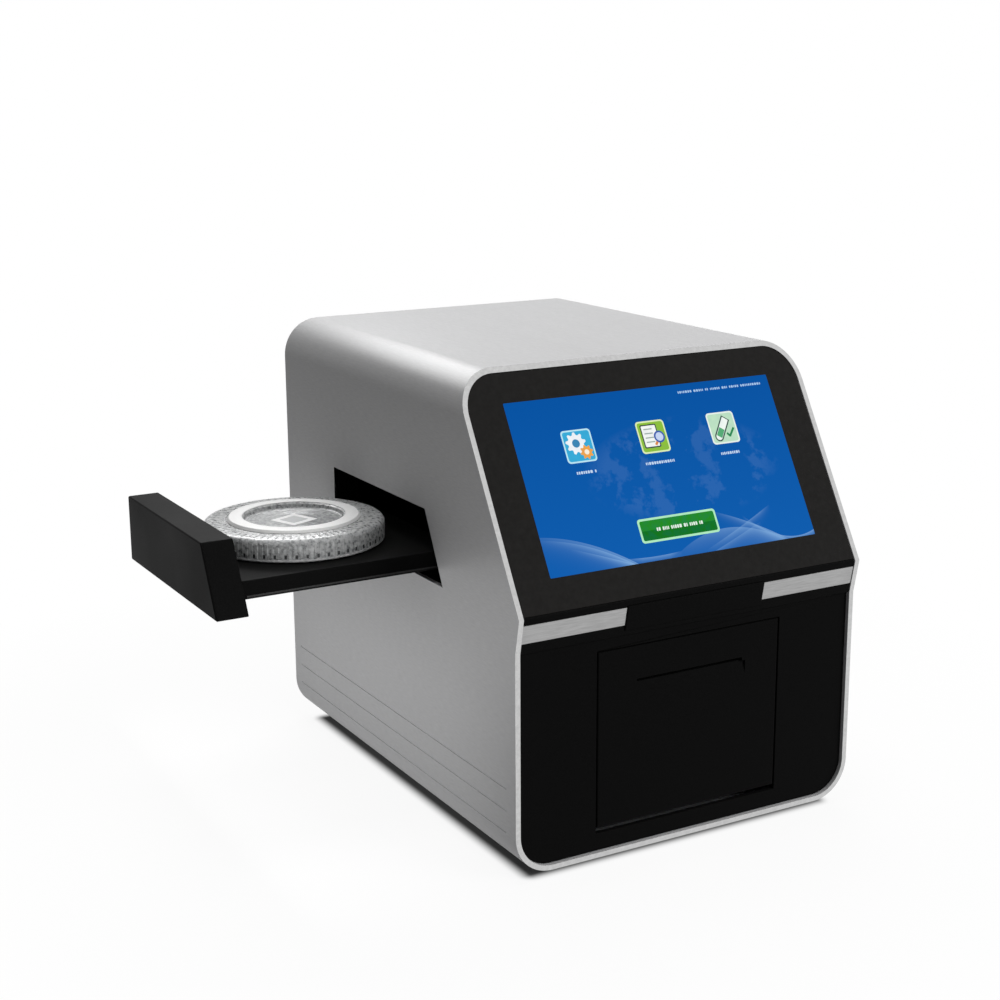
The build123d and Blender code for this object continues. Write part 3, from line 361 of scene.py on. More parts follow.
def circleLoop(x, y, radius, steps=28):
    return [
        (x + radius * math.cos(2 * math.pi * i / steps), y + radius * math.sin(2 * math.pi * i / steps))
        for i in range(steps)
    ]


def gearLoop(x, y, radius, depth, teeth):
    points = []
    for i in range(teeth * 4):
        reach = radius if i % 4 in (0, 1) else radius - depth
        turn = 2 * math.pi * (i + 0.5) / (teeth * 4)
        points.append((x + reach * math.cos(turn), y + reach * math.sin(turn)))
    return points


def barLoop(x0, y0, x1, y1, width):
    # a straight bar between two points
    run = Vector((x1 - x0, y1 - y0)).normalized() * (width / 2)
    side = Vector((-run.y, run.x))
    ends = (Vector((x0, y0)), Vector((x1, y1)))
    return [
        tuple(ends[0] - side), tuple(ends[1] - side), tuple(ends[1] + side), tuple(ends[0] + side)
    ]


def stackPiece(name, layers, matrix, foot, step):
    # closed flat prisms, each layer a step higher; the colour is kept per face
    work = bmesh.new()
    colours = []
    for loop, level, code in layers:
        top = foot + step * level
        low = [work.verts.new(matrix @ Vector((x * mm, y * mm, foot * mm))) for x, y in loop]
        high = [work.verts.new(matrix @ Vector((x * mm, y * mm, top * mm))) for x, y in loop]
        count = len(loop)
        faces = [work.faces.new(high), work.faces.new(low[::-1])]
        for i in range(count):
            j = (i + 1) % count
            faces.append(work.faces.new((low[i], low[j], high[j], high[i])))
        colours += [linear(code)] * len(faces)
    mesh = workedMesh(name, work)
    paint = mesh.attributes.new("tint", "FLOAT_COLOR", "FACE")
    for item, colour in zip(paint.data, colours):
        item.color = colour
    return linkMesh(name, mesh)


def litPixels(tree, shader, colour, unlit, roughness):
    # light from behind the cover glass; unlit is the colour of the panel when it is off
    setInputs(tree, shader, {
        "Emission Color": colour, "Emission Strength": 1.0, "Base Color": linear(unlit),
        "Roughness": roughness, "Specular IOR Level": 0.02,
    })


def litPicture(name, look):
    # what the panel shows: deep blue, a faint map of specks, and pale ribbons of light
    material, tree, shader, coords, _ = newMaterial(name)
    # x and y on the screen in millimetres
    across = addNode(tree, "ShaderNodeVectorMath", {0: coords, 1: (1 / mm, 0, 0)}, operation="DOT_PRODUCT")
    shifted = addNode(tree, "ShaderNodeVectorMath", {
        0: coords, 1: tuple(-v for v in slopeMatrix.translation),
    }, operation="ADD")
    upward = addNode(tree, "ShaderNodeVectorMath", {
        0: shifted, 1: (0, 1 / mm * math.sin(lean), 1 / mm * math.cos(lean)),
    }, operation="DOT_PRODUCT")
    x = across.outputs["Value"]
    y = upward.outputs["Value"]
    low, high = look["fade"]
    rise = addNode(tree, "ShaderNodeMapRange", {0: y, 1: low, 2: high})
    colour = addNode(tree, "ShaderNodeMix", {
        "Factor": rise, 6: linear(look["low"]), 7: linear(look["high"]),
    }, data_type="RGBA").outputs[2]
    # land-like patches, kept to an oval in the middle of the picture
    patches = addNode(tree, "ShaderNodeTexNoise", {
        "Vector": coords, "Scale": 1 / (look["patch"] * mm), "Detail": 5.0, "Roughness": 0.62,
    })
    low, high = look["shore"]
    patches = addNode(tree, "ShaderNodeMapRange", {0: patches, 1: low, 2: high})
    spot = addNode(tree, "ShaderNodeCombineXYZ", {0: x, 1: y})
    for operation, vector in (("SUBTRACT", (*look["ovalMiddle"], 0)), ("DIVIDE", (*look["ovalHalf"], 1))):
        spot = addNode(tree, "ShaderNodeVectorMath", {0: spot, 1: vector}, operation=operation)
    oval = addNode(tree, "ShaderNodeVectorMath", {0: spot, 1: spot}, operation="DOT_PRODUCT")
    low, high = look["ovalEdge"]
    oval = addNode(tree, "ShaderNodeMapRange", {
        0: oval.outputs["Value"], 1: low, 2: high, 3: look["patchGlow"], 4: 0,
    })
    glow = addNode(tree, "ShaderNodeMath", {0: patches, 1: oval}, operation="MULTIPLY")
    colour = addNode(tree, "ShaderNodeMix", {
        "Factor": glow, 6: colour, 7: linear(look["pale"]),
    }, data_type="RGBA").outputs[2]
    # each ribbon is a parabola, bright along its upper edge and fading below it
    for (bend, tilt, base), (start, end), ramp, width, strength in look["ribbons"]:
        line = addNode(tree, "ShaderNodeMath", {0: x, 1: bend, 2: tilt}, operation="MULTIPLY_ADD")
        line = addNode(tree, "ShaderNodeMath", {0: x, 1: line, 2: base}, operation="MULTIPLY_ADD")
        over = addNode(tree, "ShaderNodeMath", {0: y, 1: line}, operation="SUBTRACT")
        over = addNode(tree, "ShaderNodeMath", {0: over, 1: width}, operation="DIVIDE")
        below = addNode(tree, "ShaderNodeMath", {0: over, 1: 0}, operation="LESS_THAN")
        depth = addNode(tree, "ShaderNodeMath", {0: over, 1: 0}, operation="MINIMUM")
        share = addNode(tree, "ShaderNodeMath", {0: depth}, operation="EXPONENT")
        first = addNode(tree, "ShaderNodeMapRange", {
            0: x, 1: start - look["early"], 2: start + ramp, 3: 0, 4: strength,
        })
        last = addNode(tree, "ShaderNodeMapRange", {
            0: x, 1: end - look["late"], 2: end + look["early"], 3: 1, 4: 0,
        })
        for part in (below, first, last):
            share = addNode(tree, "ShaderNodeMath", {0: share, 1: part}, operation="MULTIPLY")
        colour = addNode(tree, "ShaderNodeMix", {
            "Factor": share, 6: colour, 7: linear(look["pale"]),
        }, data_type="RGBA").outputs[2]
    litPixels(tree, shader, colour, "#010203", 0.08)
    return material


# Heights and widths on the screen in millimetres. shore is the part of the noise that makes the
# patches' edges, and a ribbon starts early before its span and fades out from late before its end.
pictureLook = {
    "low": "#0a5cae", "high": "#0252a2", "pale": "#8cb9e6", "fade": (17, 103),
    "patch": 17, "patchGlow": 0.07, "shore": (0.50, 0.56),
    "ovalMiddle": (12, 60), "ovalHalf": (55, 26), "ovalEdge": (0.7, 1.1), "early": 3, "late": 4,
    # its parabola, its span across, how slowly it starts, its width and its glow
    "ribbons": [
        ((-0.00587, -1.02755, -7.681), (-86, -26), 52, 5.0, 0.5),
        ((-0.00560, -0.99, -7.9), (-76, -20), 40, 1.6, 0.6),
        ((-0.00041, -0.41819, 4.654), (-60, -26), 20, 1.2, 0.5),
        ((0.0030, 0.10, 20.0), (-34, -6), 8, 1.5, 0.5),
        ((-0.00931, 0.47243, 21.323), (-6, 62), 30, 5.0, 0.4),
        ((-0.0039, -0.17745, 41.781), (22, 60), 22, 1.9, 0.6),
        ((0.00115, 0.32286, 14.374), (14, 52), 14, 1.4, 0.35),
        ((0.0006, 0.31, 11.9), (4, 44), 14, 1.6, 0.25),
        ((0.0167, -2.22437, 91.784), (40, 80), 8, 1.6, 0.6),
    ],
}
screen = {"width": 154.2, "height": 85.9, "low": 17.0, "corner": 0.3, "sunk": 0.2, "lift": 0.05}
panelMiddle = screen["low"] + screen["height"] / 2
panelLoop = roundedLoop(0, panelMiddle, screen["width"], screen["height"], screen["corner"], 1)
picture = stackPiece(
    "screenPicture", [(panelLoop, 1, pictureLook["high"])], slopeMatrix,
    slope["glassFace"] - screen["sunk"], screen["sunk"] + screen["lift"],
)
placePiece(picture, litPicture("litBlueField", pictureLook), "case")


def litColours(name):
    # pixels lit in each face's own colour, a little uneven as under a cover glass
    material, tree, shader, coords, _ = newMaterial(name)
    haze = addNode(tree, "ShaderNodeTexNoise", {"Vector": coords, "Scale": 1 / (2.5 * mm), "Detail": 2.0})
    level = addNode(tree, "ShaderNodeMapRange", {0: haze, 1: noiseLow, 2: noiseHigh, 3: 0.9, 4: 1.0})
    tint = addNode(tree, "ShaderNodeAttribute", attribute_name="tint").outputs["Color"]
    lit = addNode(tree, "ShaderNodeMix", {
        "Factor": level, 6: linear(pictureLook["high"]), 7: tint,
    }, data_type="RGBA").outputs[2]
    litPixels(tree, shader, lit, "#050505", 0.1)
    return material


# Three tiles with generic signs. Each shape has its measures from the tile's middle, its level
# in the stack and its colour.
iconLook = {
    "size": 16.5, "height": 77.8, "radius": 1.8, "rim": 0.8, "captionHeight": 64.6,
    "tiles": [
        {"place": -43.0, "rim": "#bfeaf6", "field": "#38add9", "caption": 5.2, "shapes": [
            # two gears: settings
            (gearLoop, (-1.2, 1.4, 5.6, 1.3, 9), 3, "#f4f8fb"),
            (circleLoop, (-1.2, 1.4, 2.1), 4, "#3c87b5"),
            (gearLoop, (3.4, -3.4, 3.6, 0.9, 8), 5, "#f0a648"),
            (circleLoop, (3.4, -3.4, 1.3), 6, "#fdf3df"),
        ]},
        {"place": -0.6, "rim": "#e4f4b8", "field": "#8fc232", "caption": 8.4, "shapes": [
            # a written sheet and a lens: results
            (roundedLoop, (-1.4, 0.4, 9.4, 12.0, 0.8), 3, "#2c3a33"),
            (roundedLoop, (-1.4, 0.4, 8.2, 10.8, 0.5), 4, "#f7faf6"),
            *((roundedLoop, (-2.0, 4.0 - row * 2.2, 5.0, 0.6, 0.25, 2), 5, "#9fb0a6") for row in range(4)),
            (barLoop, (0.4, -4.4, 2.6, -1.8, 1.3), 5, "#e08a3a"),
            (circleLoop, (3.6, -0.4, 3.1), 6, "#3f5fae"),
            (circleLoop, (3.6, -0.4, 2.2), 7, "#c9d8f4"),
        ]},
        {"place": 41.4, "rim": "#eef8ee", "field": "#bfe3c4", "caption": 5.6, "shapes": [
            # a sample tube and a tick: controls
            (barLoop, (-3.6, -4.4, 3.0, 5.0, 5.0), 3, "#33503f"),
            (circleLoop, (-3.6, -4.4, 2.5), 3, "#33503f"),
            (barLoop, (-3.6, -4.4, 2.7, 4.6, 3.6), 4, "#f2faf4"),
            (circleLoop, (-3.6, -4.4, 1.8), 4, "#f2faf4"),
            (barLoop, (-3.6, -4.4, -0.8, -0.4, 3.2), 5, "#58ad73"),
            (barLoop, (1.4, -3.0, 3.0, -4.8, 1.1), 6, "#2f8a4e"),
            (barLoop, (2.7, -4.8, 6.2, -0.6, 1.1), 6, "#2f8a4e"),
        ]},
    ],
}


def iconLayers():
    size, y, radius = iconLook["size"], iconLook["height"], iconLook["radius"]
    inner = size - 2 * iconLook["rim"]
    layers = []
    for tile in iconLook["tiles"]:
        layers.append((roundedLoop(tile["place"], y, size, size, radius), 1, tile["rim"]))
        layers.append((roundedLoop(tile["place"], y, inner, inner, radius * 0.7), 2, tile["field"]))
    for tile in iconLook["tiles"]:
        for makeLoop, measures, level, code in tile["shapes"]:
            loop = [(tile["place"] + px, y + py) for px, py in makeLoop(*measures)]
            layers.append((loop, level, code))
    return layers


dashLook = {"short": 0.5, "long": 1.3, "corner": 0.2, "gap": 0.35, "wordGap": 1.3, "wordChance": 0.14}


def dashLayers(x0, x1, y, height, code, level, draws):
    # a line of plain dashes of uneven length
    layers = []
    x = x0
    while x < x1:
        width = draws.uniform(dashLook["short"], dashLook["long"])
        layers.append((roundedLoop(x + width / 2, y, width, height, dashLook["corner"], 1), level, code))
        x += width + dashLook["wordGap" if draws.random() < dashLook["wordChance"] else "gap"]
    return layers


draws = random.Random(7)
art = iconLayers()
button = {
    "left": -23.3, "right": 22.0, "low": 26.0, "high": 38.0, "rim": 1.1, "radius": 1.6,
    "innerRadius": 0.9, "edge": "#b4efc0", "field": "#0f7310", "sheen": "#228a1a", "sheenUp": 2.4,
}
buttonX = (button["left"] + button["right"]) / 2
buttonY = (button["low"] + button["high"]) / 2
buttonW = button["right"] - button["left"]
buttonH = button["high"] - button["low"]
innerW = buttonW - 2 * button["rim"]
innerH = buttonH - 2 * button["rim"]
sheenY = buttonY + button["sheenUp"]
art += [
    (roundedLoop(buttonX, buttonY, buttonW, buttonH, button["radius"]), 1, button["edge"]),
    (roundedLoop(buttonX, buttonY, innerW, innerH, button["innerRadius"]), 2, button["field"]),
    (roundedLoop(buttonX, sheenY, innerW, innerH / 2, button["innerRadius"]), 3, button["sheen"]),
]
# each line of dashes: from, to, height on the screen, size, colour, level
dashLines = [(-13.5, 12.5, buttonY, 1.7, "#e9f7ea", 4)]
for tile in iconLook["tiles"]:
    x, half = tile["place"], tile["caption"]
    dashLines.append((x - half, x + half, iconLook["captionHeight"], 1.4, "#c6dbf2", 1))
dashLines.append((21.0, 72.0, 98.6, 1.2, "#a9c9ec", 1))
for row in dashLines:
    art += dashLayers(*row, draws)
signLook = {"sunk": 0.01, "step": 0.03}  # each level stands a step higher
signFoot = slope["glassFace"] + screen["lift"] - signLook["sunk"]
icons = stackPiece("screenSigns", art, slopeMatrix, signFoot, signLook["step"])
placePiece(icons, litColours("litSigns"), "case")
print("screen made:", len(art), "lit shapes")


def makeTree(name, inputs):
    # an empty geometry tree with named inputs, and its group input node
    tree = bpy.data.node_groups.new(name, "GeometryNodeTree")
    tree.interface.new_socket("Geometry", in_out="INPUT", socket_type="NodeSocketGeometry")
    for label, kind in inputs.items():
        tree.interface.new_socket(label, in_out="INPUT", socket_type="NodeSocket" + kind)
    tree.interface.new_socket("Geometry", in_out="OUTPUT", socket_type="NodeSocketGeometry")
    return tree, addNode(tree, "NodeGroupInput")


def endTree(tree, instances, material):
    real = addNode(tree, "GeometryNodeRealizeInstances", {0: instances})
    dressed = addNode(tree, "GeometryNodeSetMaterial", {"Geometry": real, "Material": material})
    addNode(tree, "NodeGroupOutput", {0: dressed})
    return tree


def ringTree():
    # copies of one element round a circle, each turned to face outwards
    tree, given = makeTree("elementRing", {
        "Element": "Object", "Count": "Int", "Radius": "Float", "Centre": "Vector",
        "Material": "Material",
    })
    ring = addNode(tree, "GeometryNodeMeshCircle", {
        "Vertices": given.outputs["Count"], "Radius": given.outputs["Radius"],
    })
    element = addNode(tree, "GeometryNodeObjectInfo", {"Object": given.outputs["Element"]})
    index = addNode(tree, "GeometryNodeInputIndex")
    turn = addNode(tree, "ShaderNodeMath", {0: 2 * math.pi, 1: given.outputs["Count"]}, operation="DIVIDE")
    angle = addNode(tree, "ShaderNodeMath", {0: index, 1: turn}, operation="MULTIPLY")
    spin = addNode(tree, "ShaderNodeCombineXYZ", {"Z": angle})
    copies = addNode(tree, "GeometryNodeInstanceOnPoints", {
        "Points": ring, "Instance": element.outputs["Geometry"], "Rotation": spin,
    })
    moved = addNode(tree, "GeometryNodeTransform", {
        "Geometry": copies, "Translation": given.outputs["Centre"],
    })
    return endTree(tree, moved, given.outputs["Material"])


def placesTree():
    # copies of one element at the given points
    tree, given = makeTree("elementAtPlaces", {
        "Element": "Object", "Turn": "Vector", "Material": "Material",
    })
    element = addNode(tree, "GeometryNodeObjectInfo", {"Object": given.outputs["Element"]})
    copies = addNode(tree, "GeometryNodeInstanceOnPoints", {
        "Points": given.outputs["Geometry"], "Instance": element.outputs["Geometry"],
        "Rotation": given.outputs["Turn"],
    })
    return endTree(tree, copies, given.outputs["Material"])


def grown(name, tree, base, inputs):
    # runs a tree on a base mesh and keeps the result as a plain mesh
    piece = linkMesh(name, base)
    modifier = piece.modifiers.new("grow", "NODES")
    modifier.node_group = tree
    sockets = {item.name: item.identifier for item in tree.interface.items_tree if item.in_out == "INPUT"}
    for label, value in inputs.items():
        modifier[sockets[label]] = value
    return frozen(piece)


def pointsMesh(name, points):
    mesh = bpy.data.meshes.new(name)
    mesh.from_pydata([tuple(v * mm for v in p) for p in points], [], [])
    return mesh


def turnedMesh(name, profile, steps):
    # a turned solid over (radius, height) points in millimetres, standing on the origin
    work = bmesh.new()
    rings = []
    for radius, height in profile:
        if rings and (radius, height) == profile[0]:
            rings.append(rings[0])  # a hollow ring closes on its first point
            continue
        if radius < 1e-6:
            rings.append([work.verts.new((0, 0, height * mm))])
            continue
        turns = [2 * math.pi * i / steps for i in range(steps)]
        rings.append([
            work.verts.new((radius * mm * math.cos(turn), radius * mm * math.sin(turn), height * mm))
            for turn in turns
        ])
    for low, high in zip(rings, rings[1:]):
        for i in range(steps):
            j = (i + 1) % steps
            corners = [low[i % len(low)], low[j % len(low)], high[j % len(high)], high[i % len(high)]]
            unique = list(dict.fromkeys(corners))
            if len(unique) > 2:
                work.faces.new(unique)
    return workedMesh(name, work)


# Millimetres, and shares of the head's radius and height: its straight side ends at side, its
# dome passes through shoulder, and it is flat inside flat.
screwLook = {
    "head": 2.8, "height": 1.6, "socket": 1.2, "socketDepth": 1.0, "side": 0.55,
    "shoulder": (0.86, 0.9), "flat": 0.6, "sides": 36, "sharp": 28,
}


def hexScrew(name, look):
    # a low domed head with a hexagon socket, axis along +Z
    head, top, socket = look["head"], look["height"], look["socket"]
    out, up = look["shoulder"]
    piece = linkMesh(name, turnedMesh(name, [
        (0, 0), (head, 0), (head, top * look["side"]), (head * out, top * up),
        (head * look["flat"], top), (0, top),
    ], look["sides"]))
    foot = top - look["socketDepth"]
    cutter = linkMesh("socketCut", turnedMesh("socketCut", [
        (0, foot), (socket, foot), (socket, top + 1), (0, top + 1),
    ], 6))
    cut = piece.modifiers.new("socket", "BOOLEAN")
    cut.operation = "DIFFERENCE"
    cut.object = cutter
    frozen(piece)
    bpy.data.objects.remove(cutter)
    smoothMesh(piece.data, look["sharp"])
    return piece


ring = ringTree()
places = placesTree()


def screwHeads(name, node, element, shares):
    # heads at both ends of a CAD node's box, at each share of the way up it
    low, high = (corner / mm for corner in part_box(node))
    head = screwLook["head"]
    rise = high.z - low.z - 2 * head
    spots = [
        (x, high.y - screwLook["height"], low.z + head + share * rise)
        for x in (low.x + head, high.x - head) for share in shares
    ]
    heads = grown(name, places, pointsMesh(name, spots), {
        "Element": element, "Turn": (-math.pi / 2, 0, 0), "Material": finishes["screw_steel"],
    })
    placePiece(heads, None, "case", [node])


screwElement = hexScrew("screwElement", screwLook)
screwHeads("rearScrewHeads", "rear_screws", screwElement, (0, 1))
screwHeads("inletScrewHeads", "inlet_screws", screwElement, (0.5,))
bpy.data.objects.remove(screwElement)

footLook = {
    "outer": 9.0, "height": 4.0, "well": 3.0, "web": 1.4, "grooves": 3, "grooveTop": 0.7,
    "groovePitch": 0.85, "grooveWidth": 0.3, "grooveDepth": 0.25, "sides": 48, "sharp": 30,
}
outer, well = footLook["outer"], footLook["well"]
base, web = -footLook["height"], -footLook["web"]
footProfile = [(0, 0), (outer, 0)]
for i in range(footLook["grooves"]):
    z = -footLook["grooveTop"] - i * footLook["groovePitch"]
    footProfile += [
        (outer, z), (outer - footLook["grooveDepth"], z - footLook["grooveWidth"] / 2),
        (outer, z - footLook["grooveWidth"]),
    ]
footProfile += [
    (outer, base + 0.8), (outer - 0.3, base + 0.25), (outer - 0.8, base), (well + 0.4, base),
    (well, base + 0.4), (well, web), (0, web),
]
footElement = linkMesh("footElement", turnedMesh("footElement", footProfile, footLook["sides"]))
smoothMesh(footElement.data, footLook["sharp"])
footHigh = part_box("feet")[1] / mm
footSpots = [(sx * (footHigh.x - outer), sy * (footHigh.y - outer), 0) for sx in (-1, 1) for sy in (-1, 1)]
feet = grown("rubberFeet", places, pointsMesh("footSpots", footSpots), {
    "Element": footElement, "Turn": (0, 0, 0), "Material": finishes["rubber"],
})
placePiece(feet, None, "case", ["feet"])
bpy.data.objects.remove(footElement)
print("screws and feet made")


# Reagent disc: a clear moulded plate of cuvettes under a stepped cover. Profiles are points of
# radius and height in millimetres.
disc = {
    "low": 140.5, "radius": 45.0, "plate": 1.4, "hub": 5.3, "lip": 9, "split": 145.5, "skirt": 141.9,
    "rimTop": 150.4, "shoulder": 151.5, "annulus": 151.8, "ringTop": 153.2, "floor": 150.3,
    "ringOuter": 32.8, "ringInner": 25.6,
    "cells": 36, "cellPitch": 39.5, "cellLength": 6.4, "cellWidth": 5.2, "cellWall": 0.5,
    "ribs": 72, "ribLength": 7.0, "ribWidth": 1.0, "ribHeight": 0.16,
    "flutes": 108, "fluteWidth": 1.2, "fluteOut": 0.22,
    "windows": 54, "windowWidth": 1.2, "windowOut": 0.12, "windowLow": 0.5, "windowHigh": 2.3,
    "sides": 120,
}
discLow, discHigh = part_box("disc_base")
discMiddle = (discLow + discHigh) / 2
discMiddle.z = 0


def turnedPiece(name, profile, sides, finish, stands=()):
    # a turned piece on the disc's axis
    mesh = turnedMesh(name, profile, sides)
    mesh.transform(Matrix.Translation(discMiddle))
    smoothMesh(mesh)
    placePiece(linkMesh(name, mesh), finish, "disc", stands)


def ringPiece(name, mesh, count, radius, finish):
    # copies of one mesh round the disc's axis
    element = linkMesh(name + "Element", mesh)
    piece = grown(name, ring, pointsMesh(name, [(0, 0, 0)]), {
        "Element": element, "Count": count, "Radius": radius * mm, "Centre": tuple(discMiddle),
        "Material": finish,
    })
    placePiece(piece, None, "disc")
    bpy.data.objects.remove(element)


edge, low, split, skirt = disc["radius"], disc["low"], disc["split"], disc["skirt"]
rimTop, shoulder, annulus = disc["rimTop"], disc["shoulder"], disc["annulus"]
top, floor, outer, inner = disc["ringTop"], disc["floor"], disc["ringOuter"], disc["ringInner"]
plate, hub, lip = low + disc["plate"], disc["hub"], edge - disc["lip"]
turnedPiece("discPlate", [
    (0, plate), (hub, plate), (hub, low), (edge - 0.5, low), (edge, low + 0.5),
    (edge, plate - 0.3), (edge - 0.4, plate), (lip, plate), (lip - 0.4, split - 0.1),
    (0, split - 0.1),
], disc["sides"], rimPlastic, ["disc_base"])
turnedPiece("discCover", [
    (0, split), (edge - 2.5, split), (edge - 1.5, skirt), (edge - 0.2, skirt),
    (edge - 0.2, rimTop - 1.2), (edge - 0.6, rimTop), (edge - 1.4, rimTop + 0.7),
    (edge - 2.6, shoulder), (outer + 1.1, annulus), (outer + 0.8, annulus - 0.5),
    (outer - 0.1, annulus - 0.5), (outer - 0.9, top - 0.35), (inner, top - 0.35),
    (inner - 0.8, top - 0.9), (inner - 1.2, floor + 0.4), (inner - 2.0, floor), (0, floor),
], disc["sides"], discPlastic, ["disc_cover"])
turnedPiece("labelBand", [
    (inner + 0.1, top - 0.45), (outer - 1.1, top - 0.45), (outer - 0.2, annulus - 0.1),
    (outer + 0.3, annulus), (outer - 0.6, top - 0.12), (outer - 1.0, top), (inner + 0.1, top),
    (inner + 0.1, top - 0.45),
], disc["sides"], finishes["white_label"], ["disc_label_ring"])


def boxMesh(name, x0, x1, y0, y1, z0, z1):
    work = bmesh.new()
    for v in bmesh.ops.create_cube(work, size=1.0)["verts"]:
        v.co = (
            (x0 if v.co.x < 0 else x1) * mm, (y0 if v.co.y < 0 else y1) * mm,
            (z0 if v.co.z < 0 else z1) * mm,
        )
    return workedMesh(name, work)


def cellMesh(name, look):
    # one open cuvette: four thin walls, made from nested rectangles
    half, wide, wall = look["cellLength"] / 2, look["cellWidth"] / 2, look["cellWall"]
    low, high = look["low"] + 1.5, look["split"] - 0.05
    corners = ((-1, -1), (1, -1), (1, 1), (-1, 1))
    work = bmesh.new()
    rings = []
    for inset, z in ((0, low), (0, high), (wall, high), (wall, low)):
        x, y = half - inset, wide - inset
        rings.append([work.verts.new((a * x * mm, b * y * mm, z * mm)) for a, b in corners])
    for first, second in zip(rings, rings[1:] + rings[:1]):
        for i in range(4):
            j = (i + 1) % 4
            work.faces.new((first[i], first[j], second[j], second[i]))
    return workedMesh(name, work)


ringPiece("discCuvettes", cellMesh("cell", disc), disc["cells"], disc["cellPitch"], discPlastic)
beadMesh = turnedMesh("bead", [
    (0, low + 1.5), (1.3, low + 1.5), (1.5, low + 2.4), (1.0, low + 3.2), (0, low + 3.4),
], 12)
ringPiece("reagentBeads", beadMesh, disc["cells"], disc["cellPitch"], surface("driedReagent", {
    # freeze-dried beads: dull and dark at the bottom of each cuvette
    "dark": "#2a2725", "light": "#57504a", "grain": 0.6, "roughness": (0.7, 0.85), "bump": 0.4,
}))
# each rib lies along the cover's slope between the ring and the shoulder
ribStart = Vector((outer + 1.2, annulus))
ribEnd = Vector((edge - 2.6, shoulder))
ribMiddle = (ribStart + ribEnd) / 2
ribMesh = boxMesh(
    "rib", -disc["ribLength"] / 2, disc["ribLength"] / 2, -disc["ribWidth"] / 2,
    disc["ribWidth"] / 2, -0.4, disc["ribHeight"],
)
ribTilt = math.atan2(ribStart.y - ribEnd.y, ribEnd.x - ribStart.x)
ribMesh.transform(Matrix.Translation((0, 0, ribMiddle.y * mm)) @ Matrix.Rotation(ribTilt, 4, "Y"))
ringPiece("discRibs", ribMesh, disc["ribs"], ribMiddle.x, discPlastic)
# upright flutes round the rim, with a dark optical window in every second gap
fluteMesh = boxMesh(
    "flute", -0.4, disc["fluteOut"], -disc["fluteWidth"] / 2, disc["fluteWidth"] / 2,
    skirt + 0.1, rimTop - 1.0,
)
ringPiece("discFlutes", fluteMesh, disc["flutes"], edge - 0.2, discPlastic)
gapMiddle = math.pi * edge / disc["flutes"]  # half a flute's pitch round the rim
windowMesh = boxMesh(
    "window", -0.5, disc["windowOut"], gapMiddle - disc["windowWidth"] / 2,
    gapMiddle + disc["windowWidth"] / 2, skirt + disc["windowLow"], skirt + disc["windowHigh"],
)
ringPiece("discWindows", windowMesh, disc["windows"], edge - 0.25, surface("smokedWindow", {
    # the optical windows of the cuvettes: darker, glossier moulding
    "dark": "#2d2e2f", "light": "#5b5d5e", "grain": 0.6, "roughness": (0.12, 0.2), "bump": 0.05,
    "specular": 0.3,
}))

# the recess has a floor of its own, smoother, with turned rings, and greyer than the cover as painted shade
# in the recess
recessLook = {"first": 23, "last": 13, "pitch": 2, "base": 0.05, "groove": 0.03, "land": 0.12}
grooveLevel, landLevel = floor + recessLook["groove"], floor + recessLook["land"]
recessProfile = [(0, floor - recessLook["base"]), (inner - 2.0, floor - recessLook["base"])]
for radius in range(recessLook["first"], recessLook["last"] - 1, -recessLook["pitch"]):
    recessProfile += [
        (radius + 0.4, landLevel), (radius - 0.5, landLevel), (radius - 0.7, grooveLevel),
        (radius - 1.3, grooveLevel),
    ]
recessProfile.append((0, grooveLevel))
turnedPiece("recessFloor", recessProfile, 96, surface("turnedRecess", {
    # the same moulding, polished in rings by the turned tool; its darker grey is painted shade
    "dark": "#8c8e8f", "light": "#d2d4d5", "grain": 2.2, "roughness": (0.16, 0.26), "bump": 0.35,
    "specular": 0.4,
}))
# a blank square, turned as it happens to stand
markLook = {
    "side": 16.6, "turn": 22.0, "rim": 3.3, "lift": 0.1, "sunk": 0.02, "edge": "#ffffff",
    "field": "#b9bbbc",
}
markSide, markInner = markLook["side"], markLook["side"] - 2 * markLook["rim"]
markPlace = Matrix.Translation((discMiddle.x, discMiddle.y, floor * mm))
mark = stackPiece("discMark", [
    (roundedLoop(0, 0, markSide, markSide, 0.4, 2), 1, markLook["edge"]),
    (roundedLoop(0, 0, markInner, markInner, 0.2, 2), 2, markLook["field"]),
], markPlace @ Matrix.Rotation(math.radians(markLook["turn"]), 4, "Z"), -markLook["sunk"], markLook["lift"])


# a thin strip along the drawer slab's front edge; its lighter colour is a painted highlight
ledge = {"x": (-196.0, -60.0), "y": (-48.3, -47.5), "z": (131.6, 132.5), "edge": 0.2}
ledgePiece = linkMesh("slabLedge", boxMesh("slabLedge", *ledge["x"], *ledge["y"], *ledge["z"]))
ledgeBevel = ledgePiece.modifiers.new("edge", "BEVEL")
ledgeBevel.width = ledge["edge"] * mm
ledgeBevel.segments = 2
frozen(ledgePiece)
placePiece(ledgePiece, surface("polishedLedge", {
    # moulded edge, glossy, its lighter grey a painted highlight along the slab's front edge
    "dark": "#2b2b2b", "light": "#3c3c3c", "grain": 0.8, "roughness": (0.2, 0.3), "specular": 0.2,
    "bump": 0.1,
}), "tray")


def tintedPaper(name):
    # printed paper: each face's own colour, a little darker between the fibres
    material, tree, shader, coords, _ = newMaterial(name)
    fibre = addNode(tree, "ShaderNodeTexNoise", {"Vector": coords, "Scale": 1 / (0.8 * mm), "Detail": 3.0})
    shade = addNode(tree, "ShaderNodeMapRange", {0: fibre, 1: noiseLow, 2: noiseHigh, 3: 0.86, 4: 1.0})
    tint = addNode(tree, "ShaderNodeAttribute", attribute_name="tint").outputs["Color"]
    mixed = addNode(tree, "ShaderNodeMix", {
        "Factor": shade, 6: linear("#8d8f90"), 7: tint,
    }, data_type="RGBA").outputs[2]
    setInputs(tree, shader, {"Base Color": mixed, "Roughness": 0.55})
    return material


placePiece(mark, tintedPaper("printedMark"), "disc")
print("disc made")
